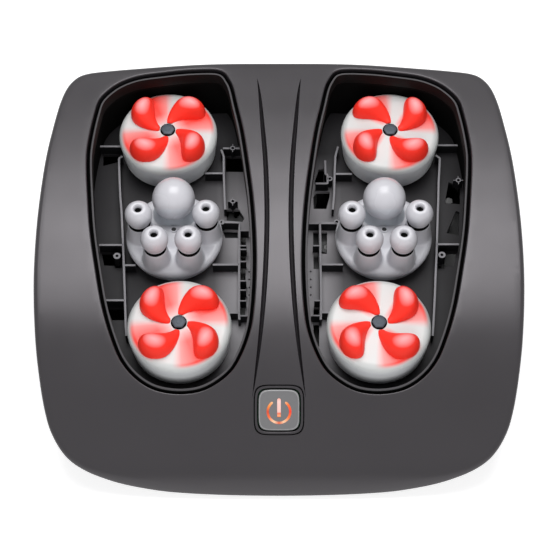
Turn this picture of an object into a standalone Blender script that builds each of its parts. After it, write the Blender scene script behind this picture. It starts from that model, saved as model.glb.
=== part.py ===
"""Shiatsu foot massager: an arched casing with two foot wells, where one motor turns six massage discs."""

import math

import bmesh
import bpy
from mathutils import Matrix, Vector

# General clearances
GAP = 0.0003
RUNNING_GAP = 0.0004
OVERRUN = 0.004
MERGE_DISTANCE = 1e-6
SHARP_ANGLE = math.radians(35)

# Casing
HALF_WIDTH = 0.1965
HALF_DEPTH = 0.1826
CASE_HEIGHT = 0.1
CASE_WALL = 0.0028
FOOT_HEIGHT = 0.005
EDGE_BAND = 0.0025
BASE_TUCK = 0.014
TUCK_SLOPE_SHARE = 0.62
ARCH_STEPS = 18
# Right half of the plan, rear centre to front centre, in shares of the half width and half depth
CASE_OUTLINE_SHARES = (
    (0.0, 1.0), (0.214, 0.999), (0.346, 0.994), (0.478, 0.983), (0.611, 0.969), (0.738, 0.954),
    (0.835, 0.937), (0.872, 0.919), (0.900, 0.888), (0.922, 0.845), (0.943, 0.766), (0.967, 0.601),
    (0.984, 0.441), (0.996, 0.214), (1.0, 0.0), (0.997, -0.197), (0.986, -0.382), (0.971, -0.530),
    (0.940, -0.714), (0.912, -0.801), (0.857, -0.882), (0.790, -0.926), (0.679, -0.961),
    (0.518, -0.984), (0.360, -0.994), (0.0, -1.0),
)
# Side view of the casing's top, front to rear, in shares of the half depth and of the casing's height
ARCH_SHARES = (
    (-1.0, 0.08), (-0.96, 0.22), (-0.905, 0.33), (-0.82, 0.44), (-0.66, 0.62), (-0.44, 0.80),
    (-0.22, 0.91), (0.05, 0.98), (0.33, 0.995), (0.66, 0.98), (1.0, 0.94),
)

# Foot wells: the left one's opening, as shares of its width outwards and of its length rearwards
WELL_INNER_X = 0.0184
WELL_OUTER_MARGIN = 0.0371
WELL_FRONT_MARGIN = 0.0622
WELL_REAR_MARGIN = 0.0084
WELL_WIDTH = HALF_WIDTH - WELL_INNER_X - WELL_OUTER_MARGIN
WELL_LENGTH = 2 * HALF_DEPTH - WELL_FRONT_MARGIN - WELL_REAR_MARGIN
WELL_FRONT_Y = WELL_FRONT_MARGIN - HALF_DEPTH
WELL_SHARES = (
    (0.245, 1.0), (0.410, 1.0), (0.571, 0.990), (0.732, 0.975), (0.828, 0.953), (0.889, 0.928),
    (0.949, 0.888), (0.974, 0.833), (1.0, 0.714), (0.998, 0.658), (0.976, 0.541), (0.952, 0.439),
    (0.911, 0.325), (0.865, 0.218), (0.812, 0.138), (0.755, 0.080), (0.677, 0.039), (0.574, 0.011),
    (0.438, 0.0), (0.310, 0.006), (0.216, 0.025), (0.130, 0.057), (0.071, 0.103), (0.028, 0.161),
    (0.011, 0.218), (0.0, 0.320), (0.004, 0.429), (0.020, 0.541), (0.048, 0.658), (0.084, 0.781),
    (0.120, 0.868), (0.150, 0.938), (0.171, 0.964), (0.204, 0.990),
)
LIP_THICKNESS = 0.0022
LIP_DEPTH = 0.012
FRAME_INSET = 0.0026
FRAME_THICKNESS = 0.0018
FRAME_TOP_DROP = 0.0022
FRAME_BOTTOM_DROP = 0.0140
GROOVE_RADIUS = 0.0015
# Each spine groove, rear to front: share of the well's inner x, share of the half depth, share of the radius
GROOVE_SHARES = (
    (0.97, 0.88, 0.1), (0.87, 0.80, 0.6), (0.60, 0.42, 1.0), (0.52, 0.16, 1.0), (0.60, -0.18, 1.0),
    (0.76, -0.39, 0.9), (0.98, -0.56, 0.6), (1.10, -0.65, 0.1),
)

# Base pan, feet and the columns that tie the casing together
PAN_FLOOR = 0.0025
FOOT_RADIUS = 0.012
FOOT_SOLE_RADIUS = 0.0106
FOOT_SIDE_MARGIN = 0.0585
FOOT_REAR_MARGIN = 0.0576
FOOT_FRONT_MARGIN = 0.0646
COLUMN_RADIUS = 0.0035
COLUMN_SPLIT_Z = 0.03
# Casing columns in shares of the half width and half depth
COLUMN_SHARES = ((0.102, 0.84), (0.845, 0.33), (0.763, -0.685), (0.25, -0.79))
POST_RADIUS = 0.0035
# Tray posts in shares of the well's width and length
POST_SHARES = ((0.905, 0.673), (0.862, 0.358), (0.664, 0.080), (0.224, 0.085), (0.125, 0.721), (0.26, 0.945))

# Gear train
DISC_GEAR_TEETH = 20
IDLER_TEETH = 10
GEAR_MODULE = 0.00315
WHEEL_TEETH = 24
WHEEL_MODULE = 0.00275
ADDENDUM_SHARE = 0.7
DEDENDUM_SHARE = 1.0
PRESSURE_ANGLE = math.radians(24)
BACKLASH = 0.0006
GEAR_LOW_Z = 0.014
GEAR_WIDTH = 0.008
WORM_Z = 0.03
WHEEL_WIDTH = 0.008
WORM_PITCH_RADIUS = 0.00725
WORM_TURNS = 4
WORM_STEPS_PER_TURN = 10
WORM_SHAFT_RADIUS = 0.0025
PIN_RADIUS = 0.0025
HUB_RADIUS = 0.006
HUB_LOW_Z = 0.011

# Massage discs, three to a foot on a line that turns its front end inwards
DRIVE_Y = 0.0315
TOE_OUT = math.radians(4.6)
SPINDLE_RADIUS = 0.005
DISC_STEPS = 22
HEATED_RIM_Z = 0.0698
HEATED_RADIUS = 0.042
HEATED_DEPTH = 0.0265
SHELL = 0.0026
DISC_CHAMFER = 0.0013
SMALL_CHAMFER = 0.0009
SKIRT_DRAFT = 0.0025
DISC_DOME = 0.0035
DISC_HUB_RADIUS = 0.009
SPINDLE_ABOVE_RIM = 0.0015
DISH_FLOOR_Z = 0.056
DISH_RADIUS = 0.0405
DISH_DEPTH = 0.0127
DISH_HUB_RISE = 0.007
DISH_SHOULDER = 0.004
BALL_RADIUS = 0.0178
BALL_OFFSET = 0.0205
BALL_Z = 0.0785
NECK_RADIUS = 0.0098
NECK_FOOT_RADIUS = 0.0155
BALL_FLAT_RADIUS = 0.0101
BALL_RINGS = 7
BALL_STEPS = 14
KNOB_RADIUS = 0.0114
KNOB_FOOT_RADIUS = 0.0083
KNOB_POST_FOOT_RADIUS = 0.0096
KNOB_TOP_RISE = 0.0098
# Latitudes of the knob's profile points, from its mouth down to its collar
KNOB_LATITUDES = tuple(math.radians(degrees) for degrees in (59, 36, 13, -12, -36))
KNOB_Z = 0.086
KNOB_OFFSET = 0.0277
KNOB_ANGLES = tuple(math.radians(degrees) for degrees in (180, 2, 240, 300))
KNOB_STEPS = 10
KNOB_PIN_RADIUS = 0.0026
KNOB_POST_TOP_Z = 0.0757

# Warm massage nodes: four teardrops on each heated disc, joined round the hub
NODE_ANGLES = tuple(math.radians(degrees) for degrees in (45, 135, 225, 315))
NODE_HEIGHT = 0.0146
NODE_HALF_WIDTH = 0.0128
NODE_END_RADIUS = 0.04
NODE_START_RADIUS = 0.0075
NODE_SWEEP = math.radians(34)
NODE_RING_RADIUS = 0.0088
NODE_RING_HEIGHT = 0.0016
# Along a teardrop, hub to tip: share of its length, of its half width and of its height
NODE_FORM_SHARES = (
    (0.0, 0.24, 0.12), (0.24, 0.48, 0.40), (0.45, 0.80, 0.80),
    (0.66, 1.0, 1.0), (0.86, 0.82, 0.84), (1.0, 0.20, 0.20),
)
NODE_ARC_STEPS = 4

# Trays under the wells
TRAY_Z = 0.036
TRAY_FLOOR = 0.003
TRAY_MARGIN = 0.0015
TRAY_WALL = 0.0022
TRAY_WALL_DROP = 0.0140
RIB_THICKNESS = 0.002
RIB_TOP_Z = 0.05
SWEEP_CLEARANCE = 0.0025
SWEEP_Z = 0.0418
PEDESTAL_RADIUS = 0.016
PEDESTAL_TOP_Z = 0.044
BUSH_RADIUS = 0.008
BUSH_LOW_Z = 0.03
BOSS_RADIUS = 0.0045
BOSS_TOP_Z = 0.0425
# Rails and ribs of the left tray as shares of the well's width and length, from end to end
RIB_SHARES = (
    (0.856, 0.795, 0.753, 0.126), (0.214, 0.815, 0.206, 0.575), (0.206, 0.575, 0.106, 0.575),
    (0.106, 0.575, 0.096, 0.170), (0.364, 0.742, 0.212, 0.742), (0.960, 0.494, 0.806, 0.494),
    (0.792, 0.430, 0.104, 0.430), (0.885, 0.315, 0.778, 0.315), (0.140, 0.276, 0.042, 0.276),
    (0.234, 0.116, 0.110, 0.116), (0.975, 0.842, 0.860, 0.842),
)
HEAT_RING_RADIUS = 0.03
HEAT_RING_BORE = 0.0062
HEAT_RING_HEIGHT = 0.002

# Motor and worm shaft bearings
MOTOR_RADIUS = 0.0175
MOTOR_LENGTH = 0.058
MOTOR_FRONT_Y = 0.072
MOTOR_BORE_DEPTH = 0.01
MOTOR_END_RADIUS = 0.009
MOTOR_END_LENGTH = 0.003
BRACKET_HALF_WIDTH = 0.021
BRACKET_LENGTH = 0.034
BEARING_HALF_WIDTH = 0.009
BEARING_THICKNESS = 0.008
BEARING_TOP_RISE = 0.008
FRONT_BEARING_Y = 0.002
REAR_BEARING_Y = 0.061

# Power button on the front slope
BUTTON_MARGIN = 0.051
BUTTON_Y = BUTTON_MARGIN - HALF_DEPTH
BUTTON_SIZE = 0.031
BUTTON_RISE = 0.0012
BUTTON_THICKNESS = 0.0045
BUTTON_TRAVEL = 0.0012
BUTTON_STEM_RADIUS = 0.003
BUTTON_STEM_LENGTH = 0.0055
BEZEL_SIZE = 0.039
BEZEL_RISE = 0.0006
BEZEL_DEPTH = 0.012
SQUIRCLE_EXPONENT = 5.0
SQUIRCLE_STEPS = 24
BOARD_WIDTH = 0.044
BOARD_LENGTH = 0.036
BOARD_THICKNESS = 0.0016
SWITCH_SIZE = 0.006

# Low-voltage inlet in the rear wall
INLET_RADIUS = 0.0057
INLET_BORE = 0.0031
INLET_BORE_DEPTH = 0.012
INLET_Z = 0.025
INLET_MARGIN = 0.0346
INLET_FRONT_Y = HALF_DEPTH - INLET_MARGIN
INLET_LENGTH = 0.0225
INLET_SEAT_HALF_WIDTH = 0.007
INLET_SEAT_LENGTH = 0.01

PARTS = bpy.data.collections.new("foot_massager")
CONSTRUCTION = bpy.data.collections.new("construction")


# Shapes that follow a rule


def offset(loop, distance):
    """A closed loop moved outwards by a distance, on its own normals."""
    area = sum(a.x * b.y - b.x * a.y for a, b in zip(loop, loop[1:] + loop[:1]))
    side = 1 if area > 0 else -1
    moved = []
    for before, point, after in zip(loop[-1:] + loop[:-1], loop, loop[1:] + loop[:1]):
        along = (after - before).normalized()
        moved.append(point + Vector((along.y, -along.x)) * distance * side)
    return moved


def arch_height(y, points=None):
    """Height of the casing's top at a distance from its middle, level beyond both ends."""
    points = points or [(a * HALF_DEPTH, b * CASE_HEIGHT) for a, b in ARCH_SHARES]
    y = min(max(y, points[0][0]), points[-1][0])
    i = max(k for k in range(len(points) - 1) if points[k][0] <= y)
    rises = [(b[1] - a[1]) / (b[0] - a[0]) for a, b in zip(points, points[1:])]

    def slope(k):
        if 0 < k < len(rises):
            before, after = points[k][0] - points[k - 1][0], points[k + 1][0] - points[k][0]
            return (rises[k - 1] * after + rises[k] * before) / (before + after)
        return rises[min(k, len(rises) - 1)]

    span = points[i + 1][0] - points[i][0]
    t = (y - points[i][0]) / span
    return (
        points[i][1] * (2 * t**3 - 3 * t**2 + 1) + slope(i) * span * (t**3 - 2 * t**2 + t)
        + points[i + 1][1] * (3 * t**2 - 2 * t**3) + slope(i + 1) * span * (t**3 - t**2)
    )


def arch_tilt(y):
    """Angle by which the casing's top leans to the front."""
    reach = SWITCH_SIZE
    return math.atan2(arch_height(y + reach) - arch_height(y - reach), 2 * reach)


def case_outline():
    """The casing's plan, as a closed loop."""
    right = [Vector((a * HALF_WIDTH, b * HALF_DEPTH)) for a, b in CASE_OUTLINE_SHARES]
    left = [Vector((-point.x, point.y)) for point in reversed(right[1:-1])]
    return right + left


def in_well(across_share, along_share, side=-1):
    """A place in a well, from shares of its width outwards and of its length rearwards."""
    across = WELL_INNER_X + across_share * WELL_WIDTH
    return Vector((side * across, WELL_FRONT_Y + along_share * WELL_LENGTH))


def well_outline(side, grown=0.0):
    """The opening of the well on one side, grown or shrunk by a distance."""
    return offset([in_well(a, b, side) for a, b in WELL_SHARES], grown)


def squircle(size):
    """A square with continuously rounded sides."""
    points = []
    for k in range(SQUIRCLE_STEPS):
        c, s = math.cos(2 * math.pi * k / SQUIRCLE_STEPS), math.sin(2 * math.pi * k / SQUIRCLE_STEPS)
        reach = (abs(c) ** SQUIRCLE_EXPONENT + abs(s) ** SQUIRCLE_EXPONENT) ** (-1 / SQUIRCLE_EXPONENT)
        points.append(Vector((c, s)) * reach * size / 2)
    return points


def circle(radius, steps, centre=(0.0, 0.0)):
    turns = [2 * math.pi * k / steps for k in range(steps)]
    return [Vector((centre[0] + radius * math.cos(a), centre[1] + radius * math.sin(a))) for a in turns]


# Solids


def material(name, colour, roughness, metallic=0.0):
    made = bpy.data.materials.new(name)
    made.use_nodes = True
    shader = made.node_tree.nodes["Principled BSDF"]
    shader.inputs["Base Color"].default_value = (*colour, 1.0)
    shader.inputs["Roughness"].default_value = roughness
    shader.inputs["Metallic"].default_value = metallic
    return made


def placed(name, mesh, collection=CONSTRUCTION):
    """A new object for a mesh."""
    obj = bpy.data.objects.new(name, mesh)
    collection.objects.link(obj)
    return obj


def from_bmesh(name, form):
    bmesh.ops.recalc_face_normals(form, faces=form.faces[:])
    mesh = bpy.data.meshes.new(name)
    form.to_mesh(mesh)
    form.free()
    return placed(name, mesh)


def prism(name, loops, low, high):
    """A plate between two heights from flat closed loops, the first its edge and the others holes."""
    curve = bpy.data.curves.new(name, "CURVE")
    curve.dimensions = "2D"
    curve.fill_mode = "BOTH"
    curve.extrude = (high - low) / 2
    for loop in loops:
        spline = curve.splines.new("POLY")
        spline.points.add(len(loop) - 1)
        for point, place in zip(spline.points, loop):
            point.co = (place.x, place.y, 0, 1)
        spline.use_cyclic_u = True
    obj = placed(name, curve)
    obj.location.z = (high + low) / 2
    return solid(obj)


def evaluated_mesh(obj):
    """An object's mesh with its modifiers and its place applied and its doubles merged."""
    bpy.context.view_layer.update()
    graph = bpy.context.evaluated_depsgraph_get()
    mesh = bpy.data.meshes.new_from_object(obj.evaluated_get(graph))
    mesh.transform(obj.matrix_world)
    form = bmesh.new()
    form.from_mesh(mesh)
    bmesh.ops.remove_doubles(form, verts=form.verts[:], dist=MERGE_DISTANCE)
    bmesh.ops.recalc_face_normals(form, faces=form.faces[:])
    form.to_mesh(mesh)
    form.free()
    return mesh


def solid(obj):
    """A construction object turned into a plain mesh object in place of itself."""
    name, mesh = obj.name, evaluated_mesh(obj)
    bpy.data.objects.remove(obj)
    mesh.name = name
    return placed(name, mesh)


def cylinder(name, radius, low, high, centre=(0.0, 0.0), sides=12, top_radius=None):
    form = bmesh.new()
    bmesh.ops.create_cone(
        form, cap_ends=True, segments=sides, radius1=radius,
        radius2=radius if top_radius is None else top_radius, depth=high - low,
    )
    bmesh.ops.translate(form, vec=(centre[0], centre[1], (low + high) / 2), verts=form.verts[:])
    return from_bmesh(name, form)


def cylinder_along_y(name, radius, low, high, height, sides):
    obj = cylinder(name, radius, low, high, sides=sides)
    obj.data.transform(Matrix.Translation((0, 0, height)) @ Matrix.Rotation(-math.pi / 2, 4, "X"))
    return obj


def box(name, low, high):
    form = bmesh.new()
    bmesh.ops.create_cube(form, size=1)
    low, high = Vector(low), Vector(high)
    for vertex in form.verts:
        vertex.co = Vector(a + (b - a) * (c + 0.5) for a, b, c in zip(low, high, vertex.co))
    return from_bmesh(name, form)


def turned(name, profile, steps):
    """A profile of radius and height pairs turned about Z; a closed one makes a ring."""
    closed = profile[0][0] > 0
    mesh = bpy.data.meshes.new(name)
    edges = [(k, k + 1) for k in range(len(profile) - 1)] + ([(len(profile) - 1, 0)] if closed else [])
    mesh.from_pydata([(r, 0, z) for r, z in profile], edges, [])
    obj = placed(name, mesh)
    turn = obj.modifiers.new("Turn", "SCREW")
    turn.steps = turn.render_steps = steps
    turn.use_merge_vertices = True
    turn.merge_threshold = MERGE_DISTANCE
    turn.use_normal_calculate = True
    return solid(obj)


def combine(target, other, operation):
    """Adds a Boolean to the target and puts its other shape away as construction."""
    change = target.modifiers.new(operation.title(), "BOOLEAN")
    change.operation = operation
    change.object = other
    other.hide_render = True
    other.display_type = "WIRE"
    return target


def joined(name, objects):
    """Several shapes that lie apart as the one operand of a Boolean."""
    form = bmesh.new()
    for obj in objects:
        form.from_mesh(obj.data)
        bpy.data.objects.remove(obj)
    return from_bmesh(name, form)


def piece(name, obj, finish):
    """Makes a construction shape a finished part with its own material."""
    obj = solid(obj)
    for collection in list(obj.users_collection):
        collection.objects.unlink(obj)
    PARTS.objects.link(obj)
    obj.name = name
    obj.data.name = name
    obj.data.materials.clear()
    obj.data.materials.append(finish)
    obj.data.shade_smooth()
    obj.data.set_sharp_from_angle(angle=SHARP_ANGLE)
    return obj


def copy_of(name, original, parent=None, place=(0.0, 0.0, 0.0), turn=0.0):
    """Another object with the same mesh, at a place and turn of its own."""
    obj = placed(name, original.data, PARTS)
    obj.parent = parent
    obj.location = place
    obj.rotation_euler.z = turn
    return obj


def mirrored(name, original):
    """The same piece for the other foot."""
    mesh = original.data.copy()
    mesh.transform(Matrix.Scale(-1, 4, (1, 0, 0)))
    mesh.flip_normals()
    mesh.name = name
    return placed(name, mesh, PARTS)


def empty(name, place, turn=0.0):
    obj = bpy.data.objects.new(name, None)
    obj.location = place
    obj.rotation_euler.z = turn
    PARTS.objects.link(obj)
    return obj


# Casing shapes


def arch_band(name, top_drop, bottom_drop=None):
    """What lies under the arch, lowered by one distance, and above the arch lowered by another."""
    reach = HALF_DEPTH + OVERRUN
    stations = [-reach * math.cos(math.pi * k / ARCH_STEPS) for k in range(ARCH_STEPS + 1)]
    top = [Vector((y, arch_height(y) - top_drop)) for y in stations]
    if bottom_drop is None:
        bottom = [Vector((reach, -OVERRUN)), Vector((-reach, -OVERRUN))]
    else:
        bottom = [Vector((y, arch_height(y) - bottom_drop)) for y in reversed(stations)]
    obj = prism(name, [top + bottom], -HALF_WIDTH - OVERRUN, HALF_WIDTH + OVERRUN)
    obj.data.transform(Matrix(((0, 0, 1, 0), (1, 0, 0, 0), (0, 1, 0, 0), (0, 0, 0, 1))))
    return obj


def shrunk(point, inset):
    return Vector((point.x * (1 - inset / HALF_WIDTH), point.y * (1 - inset / HALF_DEPTH)))


def tuck(y):
    """How far the casing's foot lies inside its edge: less where the edge is low."""
    return min(BASE_TUCK, TUCK_SLOPE_SHARE * (arch_height(y) - EDGE_BAND - FOOT_HEIGHT))


def casing_block(name, inset, base_z):
    """The casing's side walls as a solid: from its foot out to its edge, then straight up past the arch."""
    outline = case_outline()
    rings = [
        [(*shrunk(p, inset + tuck(p.y)), base_z) for p in outline],
        [(*shrunk(p, inset), arch_height(p.y) - EDGE_BAND + inset) for p in outline],
        [(*shrunk(p, inset), CASE_HEIGHT + OVERRUN) for p in outline],
    ]
    form = bmesh.new()
    levels = [[form.verts.new(place) for place in ring] for ring in rings]
    for lower, upper in zip(levels, levels[1:]):
        for k in range(len(outline)):
            following = (k + 1) % len(outline)
            form.faces.new((lower[k], lower[following], upper[following], upper[k]))
    form.faces.new(levels[0])
    form.faces.new(levels[-1])
    bmesh.ops.triangulate(form, faces=form.faces[:])
    return from_bmesh(name, form)


def column_places():
    return [(side * a * HALF_WIDTH, b * HALF_DEPTH) for a, b in COLUMN_SHARES for side in (-1, 1)]


def on_slope(obj, y=BUTTON_Y):
    """Moves a shape made about the origin onto the casing's front slope."""
    place = Matrix.Translation((0, y, arch_height(y)))
    obj.data.transform(place @ Matrix.Rotation(arch_tilt(y), 4, "X"))
    return obj


def groove(side):
    """A tube along one spine groove, tapered to nothing at both ends."""
    curve = bpy.data.curves.new("groove", "CURVE")
    curve.dimensions = "3D"
    curve.bevel_depth = GROOVE_RADIUS
    curve.bevel_resolution = 1
    curve.use_fill_caps = True
    spline = curve.splines.new("POLY")
    spline.points.add(len(GROOVE_SHARES) - 1)
    for point, (across_share, along_share, size_share) in zip(spline.points, GROOVE_SHARES):
        y = along_share * HALF_DEPTH
        point.co = (side * across_share * WELL_INNER_X, y, arch_height(y), 1)
        point.radius = size_share
    return solid(placed("groove", curve))


def make_top_cover(finish):
    block = casing_block("top_cover_block", 0.0, FOOT_HEIGHT)
    cover = solid(combine(block, arch_band("arch", 0.0), "INTERSECT"))
    hollow = casing_block("hollow", CASE_WALL, FOOT_HEIGHT - OVERRUN)
    hollow = combine(hollow, arch_band("arch_inside", CASE_WALL), "INTERSECT")
    cover = combine(cover, solid(hollow), "DIFFERENCE")
    columns = [cylinder("column", COLUMN_RADIUS, COLUMN_SPLIT_Z + GAP, CASE_HEIGHT, place, sides=6)
               for place in column_places()]
    columns = combine(joined("columns", columns), arch_band("arch_middle", CASE_WALL / 2), "INTERSECT")
    cover = combine(cover, solid(columns), "UNION")
    lips = []
    for side in (-1, 1):
        edge, inner = well_outline(side, LIP_THICKNESS), well_outline(side, -LIP_THICKNESS / 2)
        lips.append(prism("lip", [edge, inner], TRAY_Z, CASE_HEIGHT))
    lips = combine(joined("lips", lips), arch_band("lip_band", CASE_WALL / 2, LIP_DEPTH), "INTERSECT")
    cover = combine(cover, solid(lips), "UNION")
    wells = [prism("well", [well_outline(side)], TRAY_Z, CASE_HEIGHT + 2 * OVERRUN) for side in (-1, 1)]
    opening = arch_band("opening_band", -OVERRUN, LIP_DEPTH + OVERRUN)
    cover = combine(cover, combine(joined("wells", wells), opening, "INTERSECT"), "DIFFERENCE")
    cuts = [groove(side) for side in (-1, 1)]
    cuts.append(on_slope(prism("button_hole", [squircle(BEZEL_SIZE + 2 * GAP)], -OVERRUN * 2, OVERRUN)))
    inlet_radius, inlet_end = INLET_RADIUS + RUNNING_GAP, INLET_FRONT_Y + INLET_LENGTH + OVERRUN
    cuts.append(cylinder_along_y("inlet_hole", inlet_radius, INLET_FRONT_Y, inlet_end, INLET_Z, 16))
    cover = combine(cover, joined("cover_cuts", cuts), "DIFFERENCE")
    return piece("top_cover", cover, finish)


def make_well_frame(finish):
    ring = [well_outline(-1, -FRAME_INSET), well_outline(-1, -FRAME_INSET - FRAME_THICKNESS)]
    frame = combine(prism("frame_ring", ring, TRAY_Z, CASE_HEIGHT),
                    arch_band("frame_band", FRAME_TOP_DROP, FRAME_BOTTOM_DROP), "INTERSECT")
    return piece("left_well_frame", frame, finish)


# Places of the drive, for the left foot in the frame of its line of discs

DISC_GEAR_RADIUS = DISC_GEAR_TEETH * GEAR_MODULE / 2
IDLER_RADIUS = IDLER_TEETH * GEAR_MODULE / 2
WHEEL_RADIUS = WHEEL_TEETH * WHEEL_MODULE / 2
WHEEL_X = WORM_PITCH_RADIUS + WHEEL_RADIUS
MIDDLE_X = WHEEL_X + IDLER_RADIUS + DISC_GEAR_RADIUS
DISC_SPACING = 2 * (DISC_GEAR_RADIUS + IDLER_RADIUS)
PAN_TOP = FOOT_HEIGHT + PAN_FLOOR
GEAR_TOP_Z = GEAR_LOW_Z + GEAR_WIDTH
HUB_TOP_Z = TRAY_Z - RUNNING_GAP


def along_discs(distance, side):
    """A place on one foot's line of discs, at a distance rearwards from the middle disc."""
    return Vector((side * (MIDDLE_X + distance * math.sin(TOE_OUT)), DRIVE_Y + distance * math.cos(TOE_OUT)))


def spindle_places(side):
    return [along_discs(step * DISC_SPACING, side) for step in (1, 0, -1)]


def idler_places(side):
    return [along_discs(step * DISC_SPACING / 2, side) for step in (1, -1)]


def meshing_turn(turn, radius, other_radius, direction, pitch):
    """The turn that puts a gear in mesh with another, which lies at a direction from the first."""
    lead = (turn - direction) * radius + pitch / 2
    return direction + math.pi - lead / other_radius


# Base pan and trays


def make_base_pan(finish):
    loop = [shrunk(p, CASE_WALL + GAP + tuck(p.y)) for p in case_outline()]
    pan = prism("pan_floor", [loop], FOOT_HEIGHT, PAN_TOP)
    low = FOOT_HEIGHT + PAN_FLOOR / 2
    uprights = [cylinder("column", COLUMN_RADIUS, low, COLUMN_SPLIT_Z, p, sides=6) for p in column_places()]
    for side in (-1, 1):
        for share in POST_SHARES:
            uprights.append(cylinder("post", POST_RADIUS, low, TRAY_Z - GAP, in_well(*share, side), sides=6))
        for place in spindle_places(side):
            seat = cylinder("seat", HUB_RADIUS, low, HUB_LOW_Z - RUNNING_GAP, place, sides=8)
            pin = cylinder("pin", PIN_RADIUS, low, GEAR_TOP_Z - RUNNING_GAP, place, sides=8)
            uprights.append(solid(combine(seat, pin, "UNION")))
        for place in idler_places(side) + [Vector((side * WHEEL_X, DRIVE_Y))]:
            seat = cylinder("seat", HUB_RADIUS, low, HUB_LOW_Z - RUNNING_GAP, place, sides=8)
            pin = cylinder("pin", PIN_RADIUS, low, HUB_TOP_Z - GAP, place, sides=8)
            uprights.append(solid(combine(seat, pin, "UNION")))
    uprights.append(box(
        "inlet_seat", (-INLET_SEAT_HALF_WIDTH, INLET_FRONT_Y, low),
        (INLET_SEAT_HALF_WIDTH, INLET_FRONT_Y + INLET_SEAT_LENGTH, INLET_Z - INLET_RADIUS - GAP),
    ))
    return piece("base_pan", combine(pan, joined("uprights", uprights), "UNION"), finish)


def rib(shares, low, high):
    """A straight rib between two places of the left well."""
    start, end = in_well(shares[0], shares[1]), in_well(shares[2], shares[3])
    along = (end - start).normalized() * RIB_THICKNESS / 2
    across = Vector((-along.y, along.x))
    corners = [start - along - across, end + along - across, end + along + across, start - along + across]
    return prism("rib", [corners], low, high)


def make_well_wall(finish):
    """The wall round the left well: it stands on the tray's rim, and its ledge carries the well frame."""
    low = TRAY_Z + TRAY_FLOOR + GAP
    loops = [well_outline(-1, TRAY_MARGIN), well_outline(-1, TRAY_MARGIN - TRAY_WALL)]
    wall = prism("well_wall", loops, low, CASE_HEIGHT)
    wall = combine(wall, arch_band("wall_top", TRAY_WALL_DROP), "INTERSECT")
    loops = [well_outline(-1, TRAY_MARGIN - TRAY_WALL / 2), well_outline(-1, -FRAME_INSET - FRAME_THICKNESS)]
    ledge = combine(prism("frame_ledge", loops, low, CASE_HEIGHT),
                    arch_band("ledge_band", TRAY_WALL_DROP + GAP, TRAY_WALL_DROP + TRAY_WALL), "INTERSECT")
    wall = combine(solid(wall), solid(ledge), "UNION")
    inside = casing_block("wall_space", CASE_WALL + GAP, FOOT_HEIGHT)
    return piece("left_well_wall", combine(wall, inside, "INTERSECT"), finish)


def make_tray(finish):
    """The left tray: floor, ribs and rails cut back round the discs, and a seat for each spindle."""
    low = TRAY_Z + TRAY_FLOOR / 2
    tray = prism("tray_floor", [well_outline(-1, TRAY_MARGIN)], TRAY_Z, TRAY_Z + TRAY_FLOOR)
    within_wall = prism("within_wall", [well_outline(-1, TRAY_MARGIN - TRAY_WALL - GAP)], TRAY_Z, CASE_HEIGHT)
    sweep_radius = HEATED_RADIUS + SWEEP_CLEARANCE
    sweeps = joined("sweeps", [cylinder("sweep", sweep_radius, SWEEP_Z, CASE_HEIGHT, place, sides=14)
                               for place in spindle_places(-1)])
    for shares in RIB_SHARES:
        bar = solid(combine(rib(shares, low, RIB_TOP_Z), sweeps, "DIFFERENCE"))
        tray = combine(tray, solid(combine(bar, within_wall, "INTERSECT")), "UNION")
    seats = []
    for place in spindle_places(-1):
        bush = cylinder("bush", BUSH_RADIUS, BUSH_LOW_Z, PEDESTAL_TOP_Z, place, sides=10)
        pedestal = cylinder("pedestal", PEDESTAL_RADIUS, low, PEDESTAL_TOP_Z, place, sides=14)
        seats.append(solid(combine(pedestal, bush, "UNION")))
    for share in POST_SHARES:
        seats.append(cylinder("boss", BOSS_RADIUS, low, BOSS_TOP_Z, in_well(*share), sides=6))
    tray = combine(tray, joined("seats", seats), "UNION")
    inside = casing_block("inside", CASE_WALL + GAP, FOOT_HEIGHT)
    tray = combine(tray, inside, "INTERSECT")
    bore_radius, bore_low = SPINDLE_RADIUS + 2 * RUNNING_GAP, BUSH_LOW_Z - OVERRUN
    bores = [cylinder("bore", bore_radius, bore_low, CASE_HEIGHT, place, sides=10)
             for place in spindle_places(-1)]
    return piece("left_chassis", combine(tray, joined("bores", bores), "DIFFERENCE"), finish)


# Gears


def gear_loop(teeth, module):
    """A gear's outline: each tooth a trapezoid between its root and tip circles."""
    pitch_radius = teeth * module / 2
    root, tip = pitch_radius - DEDENDUM_SHARE * module, pitch_radius + ADDENDUM_SHARE * module
    half_pitch = (math.pi * module - BACKLASH) / 4
    root_half = (half_pitch + DEDENDUM_SHARE * module * math.tan(PRESSURE_ANGLE)) / pitch_radius
    tip_half = (half_pitch - ADDENDUM_SHARE * module * math.tan(PRESSURE_ANGLE)) / pitch_radius
    points = []
    for k in range(teeth):
        middle = 2 * math.pi * k / teeth
        for radius, angle in ((root, -root_half), (tip, -tip_half), (tip, tip_half), (root, root_half)):
            points.append(Vector((radius * math.cos(middle + angle), radius * math.sin(middle + angle))))
    return points


def gear(name, teeth, module, low, high, twist=0.0):
    """A gear between two heights; a twist per metre of height makes it helical."""
    obj = prism(name, [gear_loop(teeth, module)], low, high)
    for vertex in obj.data.vertices:
        vertex.co = Matrix.Rotation(twist * (vertex.co.z - (low + high) / 2), 3, "Z") @ vertex.co
    return obj


def make_spindle_gear(name, top, finish):
    shaft = cylinder("shaft", SPINDLE_RADIUS, HUB_LOW_Z, top, sides=10)
    made = combine(gear("disc_gear", DISC_GEAR_TEETH, GEAR_MODULE, GEAR_LOW_Z, GEAR_TOP_Z), shaft, "UNION")
    bore = cylinder("bore", PIN_RADIUS + RUNNING_GAP, HUB_LOW_Z - OVERRUN, GEAR_TOP_Z, sides=8)
    return piece(name, combine(made, bore, "DIFFERENCE"), finish)


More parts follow.
